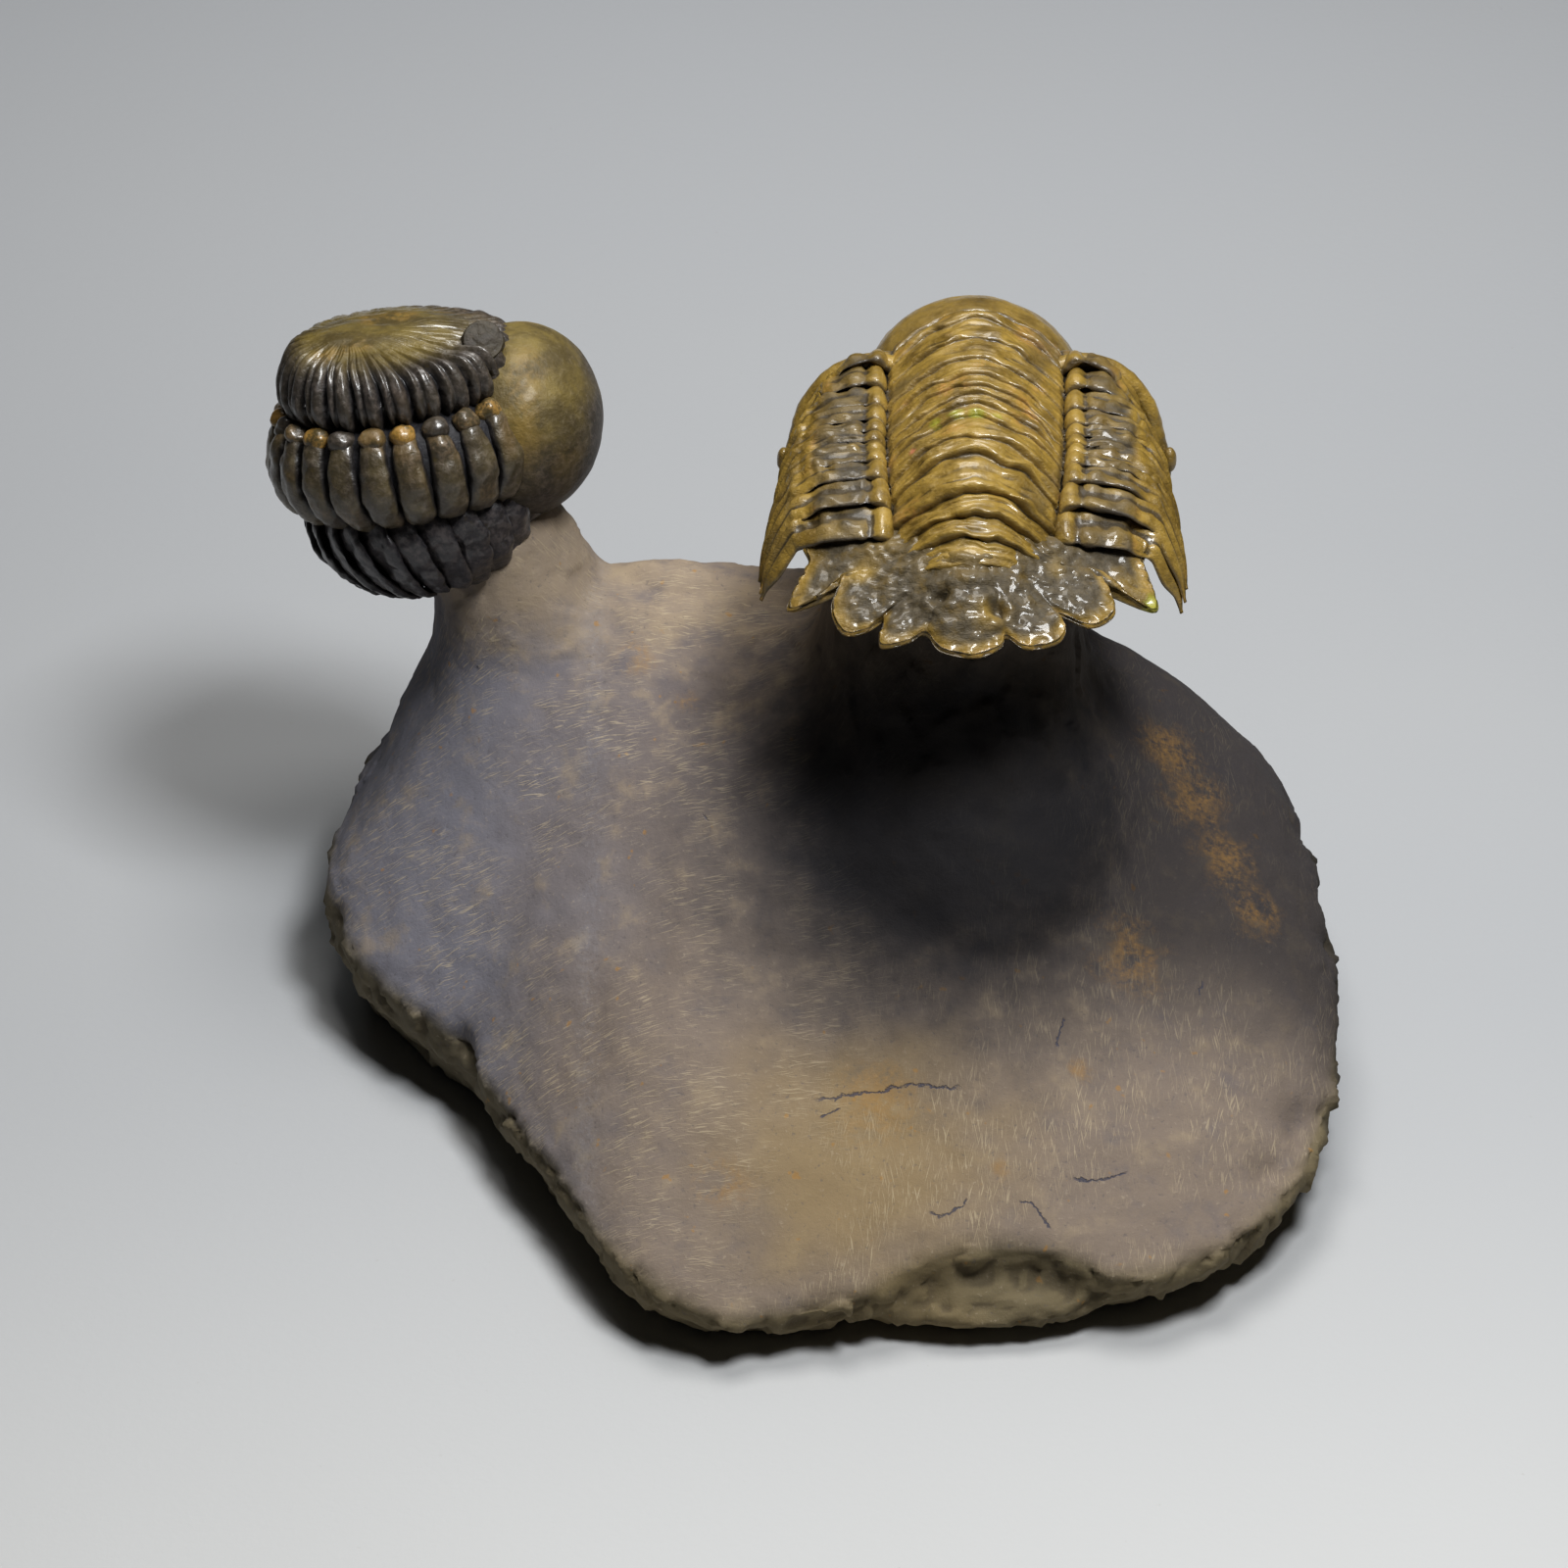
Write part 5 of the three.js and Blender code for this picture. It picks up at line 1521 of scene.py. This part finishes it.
def stone_finish(settings):
    """Dull mudstone: brown-grey, yellower in front, with rust, cracks and scratches. Painted light: cool fill
    makes it bluer to the left, a painted shadow blackens it under the outstretched trilobite's tail and to
    the right behind it, and painted shade darkens its broken hollows.
    """
    finish = Finish("mudstone", STONE_BACK, 0.35)
    place = finish.place()
    x, y, z = finish.parts(place)
    broad = finish.noise(place, 15.0, 3.0, 0.55)
    mottle = finish.noise(place, 3.2, 4.0, 0.6)
    grain = finish.noise(place, 0.5, 3.0, 0.7)
    wander = (broad - 0.5) * 26.0
    finish.paint(finish.rise(y + wander, 4.0, -38.0), tuple(settings.colour))
    # Painted light: the left of the block turns bluer, standing in for cool fill light on its left flank.
    finish.paint(finish.rise(x + wander, -12.0, -34.0), STONE_LEFT_COOL_LIGHT)
    finish.paint(finish.rise(z + (mottle - 0.5) * 8.0, 27.0, 34.0) * 0.75, PEDESTAL_PALE)
    finish.paint(finish.rise(mottle, 0.52, 0.75) * 0.5, MOTTLE_PALE)
    finish.paint(finish.rise(mottle, 0.48, 0.25) * 0.4, MOTTLE_DARK)
    off_streak = (x - STREAK_X + (mottle - 0.5) * 3.0).distance()
    streak = finish.rise(off_streak, 1.6, 0.2) * finish.rise(mottle + grain, 0.9, 1.2)
    finish.paint(streak * 0.15, STREAK_BLUE)
    broken = finish.mark("broken")
    finish.paint(broken * 0.8, BROKEN_BROWN)
    finish.paint(finish.rise(finish.far(place, YELLOW_PLACE) + wander * 0.8, 17.0, 5.0) * 0.6, YELLOW_OCHRE)
    finish.paint(finish.rise(finish.noise(place, 1.3, 2.0), 0.7, 0.76) * 0.6, FLECK_ORANGE)
    right = finish.rise(x - y * 0.5 + wander * 0.3, 10.0, 24.0)
    scratches = stone_scratches(finish, place, right) * (1.0 - broken)
    finish.paint(scratches * 0.46, SCRATCH_PALE)
    finish.paint(finish.rise(grain, 0.6, 0.74) * 0.35, GRAIN_PALE)
    finish.paint(finish.rise(grain, 0.4, 0.28) * 0.45, GRAIN_DARK)
    # Painted shadow: near-black round a point under the outstretched trilobite's tail, and painted shade over
    # the stone to the right behind it, its edge wandering with the noise.
    tail_shadow = finish.rise(finish.far(place, SHADOW_PLACE) + (mottle - 0.5) * 7.0, 30.0, 9.0)
    beside = finish.rise(x + wander * 0.3, 2.0, 18.0) * finish.rise(y + wander * 0.3, -30.0, -14.0) * 0.78
    finish.paint(tail_shadow.most(beside) * 0.95, SHADOW_BLACK)
    speckle = finish.rise(grain * 0.5 + mottle, 0.6, 0.95)
    finish.paint(stone_rust(finish, place, mottle) * speckle * 0.6, RUST)
    crack = stone_cracks(finish, place, mottle, grain)
    finish.paint(crack * 0.8, CRACK_BLUE)
    # Painted shade: the hollows of the broken facets are darkened.
    finish.paint(finish.rise(finish.mark("hollow"), 0.0, 0.05) * broken * 0.4, HOLLOW_SHADE_BROWN)
    height = grain * 0.5 + mottle * 0.4 - crack * 0.9 + scratches * 0.12
    return finish.done(0.86 - scratches * 0.1, finish.bump(height, 0.25 * MM, 0.55))


def shell_finish(settings):
    """Varnished ochre shell: slate-grey patches, dark joints, orange spots, painted shade in its crevices,
    crisp wrinkled gloss.
    """
    finish = Finish("fossil_shell", SHELL_BROWN, 0.5, 0.11)
    place = finish.place()
    mottle = finish.noise(place, 2.4, 4.0, 0.6)
    fine = finish.noise(place, 0.55, 4.0, 0.65)
    finish.paint(finish.rise(mottle, 0.22, 0.68), tuple(settings.colour))
    finish.paint(finish.rise(fine, 0.52, 0.74) * 0.3, SHELL_CREAM)
    finish.paint(finish.mark("warm") * finish.rise(fine + mottle, 0.9, 1.2) * 0.5, SHELL_ORANGE)
    slate = finish.blend(finish.rise(fine, 0.4, 0.65), SHELL_SLATE_DARK, SHELL_SLATE)
    finish.paint(finish.mark("slate") * finish.rise(mottle + fine * 0.4, 0.35, 0.75) * 0.92, slate)
    # Painted shade: darker where a point lies below its neighbours.
    finish.paint(finish.rise(finish.mark("hollow"), 0.002, 0.03) * 0.8, SHELL_HOLLOW_SHADE)
    finish.paint(finish.mark("furrow") * 0.8, SHELL_FURROW)
    finish.paint(finish.rise(fine, 0.38, 0.27) * 0.5, SHELL_SPECK)
    for spot, radius, tint, strength in SHELL_SPOTS:
        near = finish.rise(finish.far(place, spot) + (fine - 0.5) * radius, radius, radius * 0.4)
        finish.paint(near * strength, tint)
    wrinkle = finish.noise(finish.stretched(place, (0.5, 0.22, 0.3)), 1.0, 3.0, 0.6, 0.6)
    normal = finish.bump(wrinkle + fine * 0.5, 0.14 * MM, settings.bumps)
    matt = finish.mark("slate") * 0.4
    return finish.done(0.34 + fine * 0.22 + matt * 0.5, normal, (1.0 - matt) * settings.gloss)


def rolled_finish(settings):
    """Darker olive-brown shell with slate joints, bright amber beads, painted shade in its crevices and a
    soft gloss.
    """
    finish = Finish("fossil_shell_dark", ROLLED_BROWN, 0.45, 0.17)
    place = finish.place()
    mottle = finish.noise(place, 3.0, 4.0, 0.6)
    fine = finish.noise(place, 0.6, 4.0, 0.65)
    finish.paint(finish.rise(mottle, 0.35, 0.68), tuple(settings.colour))
    finish.paint(finish.rise(fine, 0.52, 0.74) * 0.35, ROLLED_CREAM)
    finish.paint(finish.mark("warm") * finish.rise(fine + mottle, 0.8, 1.1) * 0.8, ROLLED_AMBER)
    slate = finish.blend(finish.rise(fine, 0.4, 0.65), ROLLED_SLATE_DARK, ROLLED_SLATE)
    finish.paint(finish.mark("slate") * finish.rise(mottle + fine * 0.4, 0.3, 0.6), slate)
    # Painted shade: darker where a point lies below its neighbours.
    finish.paint(finish.rise(finish.mark("hollow"), 0.004, 0.06) * 0.5, ROLLED_HOLLOW_SHADE)
    finish.paint(finish.mark("furrow") * 0.85, ROLLED_FURROW)
    wrinkle = finish.noise(place, 0.3, 3.0, 0.6, 0.4)
    normal = finish.bump(wrinkle + fine * 0.8, 0.12 * MM, settings.bumps)
    matt = finish.mark("matt")
    return finish.done(0.34 + fine * 0.22 + matt * 0.16, normal, (1.0 - matt) * settings.gloss)


def floor_finish():
    """Pale grey paper with faint flecks, and painted light that is brightest near the front, darker in the
    middle and a little lighter far back.
    """
    finish = Finish("paper", PAPER_NEAR_LIT, 0.2)
    place = finish.place(WORLD_ORIGIN)
    y = finish.parts(place)[1]
    cloudy = finish.noise(place, 60.0, 2.0, 0.5)
    fleck = finish.noise(place, 0.7, 2.0, 0.5)
    # Painted light: falloff across the floor from front to back.
    finish.paint(finish.rise(y, -100.0, 10.0), PAPER_MIDDLE_SHADED)
    finish.paint(finish.rise(y, 40.0, 220.0), PAPER_FAR_LIT)
    finish.paint((cloudy - 0.5) * 0.4 + 0.2, PAPER_CLOUD)
    finish.paint(finish.rise(fleck, 0.74, 0.8) * 0.2, PAPER_FLECK)
    return finish.done(0.8, finish.bump(finish.noise(place, 0.9, 3.0, 0.6), 0.08 * MM, 0.3))


# Stage.

# Camera, in millimetres of the drawing frame, with its lens and sensor width in millimetres.
CAMERA_PLACE = (-3.5, -315.2, 268.3)
CAMERA_AIM = (-3.5, 0.0, 22.0)
CAMERA_LENS = 108.0
SENSOR = 36.0
CLIP_START = 0.01

# Half the floor's width, in metres.
FLOOR_REACH = 2.0

# Lamps: place, point that the lamp faces, and tint.
KEY_LAMP = ((-8.0, 60.0, 310.0), (4.0, 0.0, 20.0), (1.0, 0.98, 0.95))
FRONT_LAMP = ((76.0, -66.0, 312.0), (0.0, 0.0, 20.0), (0.97, 0.985, 1.0))
CEILING_LAMP = ((0.0, 330.0, 520.0), (0.0, 0.0, 0.0), (0.94, 0.97, 1.0))
FRONT_SIZE = 80.0
CEILING_SIZE = 560.0
SKY_TINT = colour(0.93, 0.97, 1.0)


def in_frame(point):
    """A point given in millimetres of the drawing frame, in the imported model's metres."""
    return Vector((np.array(point) + PLACE) * MM)


def facing(place, aim):
    """Turn of an object at a place so that its own -z points at the aim."""
    return (in_frame(aim) - in_frame(place)).to_track_quat("-Z", "Y").to_euler()


def add_lamp(name, lamp_place, size, power):
    """Square soft light that faces a point, with its side in millimetres and its power in watts."""
    place, aim, tint = lamp_place
    lamp = bpy.data.lights.new(name, "AREA")
    lamp.shape = "SQUARE"
    lamp.size = size * MM
    lamp.energy = power
    lamp.color = tint
    piece = bpy.data.objects.new(name, lamp)
    bpy.context.scene.collection.objects.link(piece)
    piece.location = in_frame(place)
    piece.rotation_euler = facing(place, aim)


def build_floor(scene):
    """Square sheet of paper under the stone."""
    reach = FLOOR_REACH
    corners = [(-reach, -reach, 0.0), (reach, -reach, 0.0), (reach, reach, 0.0), (-reach, reach, 0.0)]
    sheet = bpy.data.meshes.new("paper_floor")
    sheet.from_pydata(corners, [], [(0, 1, 2, 3)])
    sheet.materials.append(floor_finish())
    floor = bpy.data.objects.new("paper_floor", sheet)
    scene.collection.objects.link(floor)


def build_camera(scene):
    """Camera at the photograph's angle."""
    lens = bpy.data.cameras.new("photo_camera")
    lens.lens = CAMERA_LENS
    lens.sensor_width = SENSOR
    lens.sensor_fit = "HORIZONTAL"
    lens.clip_start = CLIP_START
    camera = bpy.data.objects.new("photo_camera", lens)
    scene.collection.objects.link(camera)
    camera.location = in_frame(CAMERA_PLACE)
    camera.rotation_euler = facing(CAMERA_PLACE, CAMERA_AIM)
    scene.camera = camera
    return camera


def build_stage(settings):
    """Floor, camera, a lamp above, one at the front right, a wide one on the ceiling, and an even sky."""
    scene = bpy.context.scene
    build_floor(scene)
    camera = build_camera(scene)
    add_lamp("key", KEY_LAMP, settings.key_size / MM, settings.key)
    add_lamp("front", FRONT_LAMP, FRONT_SIZE, settings.front)
    add_lamp("ceiling", CEILING_LAMP, CEILING_SIZE, settings.fill)
    sky = bpy.data.worlds.new("studio")
    sky.use_nodes = True
    background = sky.node_tree.nodes["Background"]
    background.inputs[0].default_value = SKY_TINT
    background.inputs[1].default_value = settings.sky
    scene.world = sky
    scene.view_settings.view_transform = "Standard"
    scene.view_settings.look = "Medium High Contrast"
    return camera


# Settings.

class TRILO_PG_stone(bpy.types.PropertyGroup):
    """Settings of the stone block."""

    lattice: bpy.props.FloatProperty(
        name="Lattice", description="Spacing of the stone's surface points",
        default=0.0005, min=0.0003, max=0.002, precision=5, subtype="DISTANCE", unit="LENGTH",
    )
    relief: bpy.props.FloatProperty(
        name="Relief", description="Height of the worn grain, as a multiple",
        default=1.0, min=0.0, max=3.0, subtype="FACTOR",
    )
    colour: bpy.props.FloatVectorProperty(
        name="Colour", description="Colour of the mudstone towards the front",
        default=STONE_FRONT, min=0.0, max=1.0, size=4, subtype="COLOR",
    )


class TRILO_PG_outstretched(bpy.types.PropertyGroup):
    """Settings of the outstretched trilobite."""

    relief: bpy.props.FloatProperty(
        name="Relief", description="Height of the rings and wrinkles, as a multiple",
        default=1.0, min=0.0, max=2.0, subtype="FACTOR",
    )
    gloss: bpy.props.FloatProperty(
        name="Gloss", description="Weight of the varnish over the shell",
        default=0.55, min=0.0, max=1.0, subtype="FACTOR",
    )
    bumps: bpy.props.FloatProperty(
        name="Bumps", description="Strength of the fine wrinkles in the shell",
        default=0.75, min=0.0, max=1.0, subtype="FACTOR",
    )
    colour: bpy.props.FloatVectorProperty(
        name="Colour", description="Ochre of the shell",
        default=SHELL_OCHRE, min=0.0, max=1.0, size=4, subtype="COLOR",
    )


class TRILO_PG_rolled(bpy.types.PropertyGroup):
    """Settings of the rolled-up trilobite."""

    relief: bpy.props.FloatProperty(
        name="Relief", description="Height of the cap's ridges, as a multiple",
        default=1.0, min=0.0, max=2.0, subtype="FACTOR",
    )
    gloss: bpy.props.FloatProperty(
        name="Gloss", description="Weight of the varnish over the shell",
        default=0.6, min=0.0, max=1.0, subtype="FACTOR",
    )
    bumps: bpy.props.FloatProperty(
        name="Bumps", description="Strength of the fine wrinkles in the shell",
        default=0.5, min=0.0, max=1.0, subtype="FACTOR",
    )
    colour: bpy.props.FloatVectorProperty(
        name="Colour", description="Olive of the shell",
        default=ROLLED_OLIVE, min=0.0, max=1.0, size=4, subtype="COLOR",
    )


class TRILO_PG_stage(bpy.types.PropertyGroup):
    """Settings of the studio."""

    key: bpy.props.FloatProperty(
        name="Key", description="Power of the lamp above the trilobites, in watts",
        default=0.38, min=0.0, max=50.0, unit="POWER",
    )
    key_size: bpy.props.FloatProperty(
        name="Key size", description="Side of the lamp above the trilobites",
        default=0.12, min=0.01, max=1.0, subtype="DISTANCE", unit="LENGTH",
    )
    front: bpy.props.FloatProperty(
        name="Front", description="Power of the lamp at the front right, in watts",
        default=0.72, min=0.0, max=50.0, unit="POWER",
    )
    fill: bpy.props.FloatProperty(
        name="Fill", description="Power of the wide lamp on the ceiling, in watts",
        default=0.5, min=0.0, max=50.0, unit="POWER",
    )
    sky: bpy.props.FloatProperty(
        name="Sky", description="Strength of the even light from all sides",
        default=0.012, min=0.0, max=5.0, subtype="FACTOR",
    )


# Operators.

def finished(made):
    """An operator's answer when what it makes is there. Raises an error if it isn't."""
    if made is None:
        raise RuntimeError("The operator made nothing")
    return {"FINISHED"}


class TRILO_OT_stone(bpy.types.Operator):
    """Stone block with its two pedestals"""

    bl_idname = "trilobite.stone"
    bl_label = "Stone block"
    bl_options = {"REGISTER", "UNDO"}

    def execute(self, context):
        return finished(build_stone(context.scene.trilobite_stone))


class TRILO_OT_rings(bpy.types.Operator):
    """Ringed axis of the outstretched trilobite"""

    bl_idname = "trilobite.rings"
    bl_label = "Axis rings"
    bl_options = {"REGISTER", "UNDO"}

    def execute(self, context):
        return finished(build_rings(context.scene.trilobite_outstretched))


class TRILO_OT_ribs(bpy.types.Operator):
    """Ribs and hanging blades of the outstretched trilobite"""

    bl_idname = "trilobite.ribs"
    bl_label = "Ribs and blades"
    bl_options = {"REGISTER", "UNDO"}

    def execute(self, context):
        return finished(build_ribs(context.scene.trilobite_outstretched))


class TRILO_OT_head(bpy.types.Operator):
    """Domed head and cheeks of the outstretched trilobite"""

    bl_idname = "trilobite.head"
    bl_label = "Domed head"
    bl_options = {"REGISTER", "UNDO"}

    def execute(self, context):
        return finished(build_head(context.scene.trilobite_outstretched))


class TRILO_OT_tail(bpy.types.Operator):
    """Lobed tail shield of the outstretched trilobite"""

    bl_idname = "trilobite.tail"
    bl_label = "Tail shield"
    bl_options = {"REGISTER", "UNDO"}

    def execute(self, context):
        return finished(build_tail(context.scene.trilobite_outstretched))


class TRILO_OT_cap(bpy.types.Operator):
    """Ridged cap and core of the rolled-up trilobite"""

    bl_idname = "trilobite.cap"
    bl_label = "Rolled cap"
    bl_options = {"REGISTER", "UNDO"}

    def execute(self, context):
        return finished(build_cap(context.scene.trilobite_rolled))


class TRILO_OT_roll_ribs(bpy.types.Operator):
    """Swollen ribs and beads of the rolled-up trilobite"""

    bl_idname = "trilobite.roll_ribs"
    bl_label = "Rolled ribs"
    bl_options = {"REGISTER", "UNDO"}

    def execute(self, context):
        return finished(build_roll_ribs(context.scene.trilobite_rolled))


class TRILO_OT_roll_blades(bpy.types.Operator):
    """Dark lower blades of the rolled-up trilobite"""

    bl_idname = "trilobite.roll_blades"
    bl_label = "Rolled blades"
    bl_options = {"REGISTER", "UNDO"}

    def execute(self, context):
        return finished(build_roll_blades(context.scene.trilobite_rolled))


class TRILO_OT_roll_head(bpy.types.Operator):
    """Head dome and eye stub of the rolled-up trilobite"""

    bl_idname = "trilobite.roll_head"
    bl_label = "Rolled head"
    bl_options = {"REGISTER", "UNDO"}

    def execute(self, context):
        return finished(build_roll_head(context.scene.trilobite_rolled))


class TRILO_OT_stage(bpy.types.Operator):
    """Paper floor, camera, lamps and sky"""

    bl_idname = "trilobite.stage"
    bl_label = "Stage"
    bl_options = {"REGISTER", "UNDO"}

    def execute(self, context):
        return finished(build_stage(context.scene.trilobite_stage))


# Buttons of the panel, groups of settings by their name in the Blender scene, and all classes.
OPERATORS = (
    TRILO_OT_stone, TRILO_OT_rings, TRILO_OT_ribs, TRILO_OT_head, TRILO_OT_tail,
    TRILO_OT_cap, TRILO_OT_roll_ribs, TRILO_OT_roll_blades, TRILO_OT_roll_head, TRILO_OT_stage,
)
GROUPS = {
    "trilobite_stone": TRILO_PG_stone,
    "trilobite_outstretched": TRILO_PG_outstretched,
    "trilobite_rolled": TRILO_PG_rolled,
    "trilobite_stage": TRILO_PG_stage,
}


class TRILO_PT_panel(bpy.types.Panel):
    """Buttons and settings for each piece"""

    bl_label = "Trilobite Cluster Plate"
    bl_idname = "TRILO_PT_panel"
    bl_space_type = "VIEW_3D"
    bl_region_type = "UI"
    bl_category = "Fossil"

    def draw(self, context):
        for name, group in GROUPS.items():
            box = self.layout.box()
            settings = getattr(context.scene, name)
            for key in group.__annotations__:
                box.prop(settings, key)
        for operator in OPERATORS:
            self.layout.operator(operator.bl_idname)


CLASSES = (*GROUPS.values(), *OPERATORS, TRILO_PT_panel)


def register():
    """Adds the settings, operators and panel to Blender, and the settings to the scene."""
    for item in CLASSES:
        bpy.utils.register_class(item)
    for name, group in GROUPS.items():
        setattr(bpy.types.Scene, name, bpy.props.PointerProperty(type=group))


def unregister():
    """Takes away what register adds."""
    for name in GROUPS:
        delattr(bpy.types.Scene, name)
    for item in reversed(CLASSES):
        bpy.utils.unregister_class(item)


def main():
    """Builds every piece and the stage."""
    register()
    bpy.ops.trilobite.stone()
    bpy.ops.trilobite.rings()
    bpy.ops.trilobite.ribs()
    bpy.ops.trilobite.head()
    bpy.ops.trilobite.tail()
    bpy.ops.trilobite.cap()
    bpy.ops.trilobite.roll_ribs()
    bpy.ops.trilobite.roll_blades()
    bpy.ops.trilobite.roll_head()
    bpy.ops.trilobite.stage()


if __name__ == "__main__":
    main()
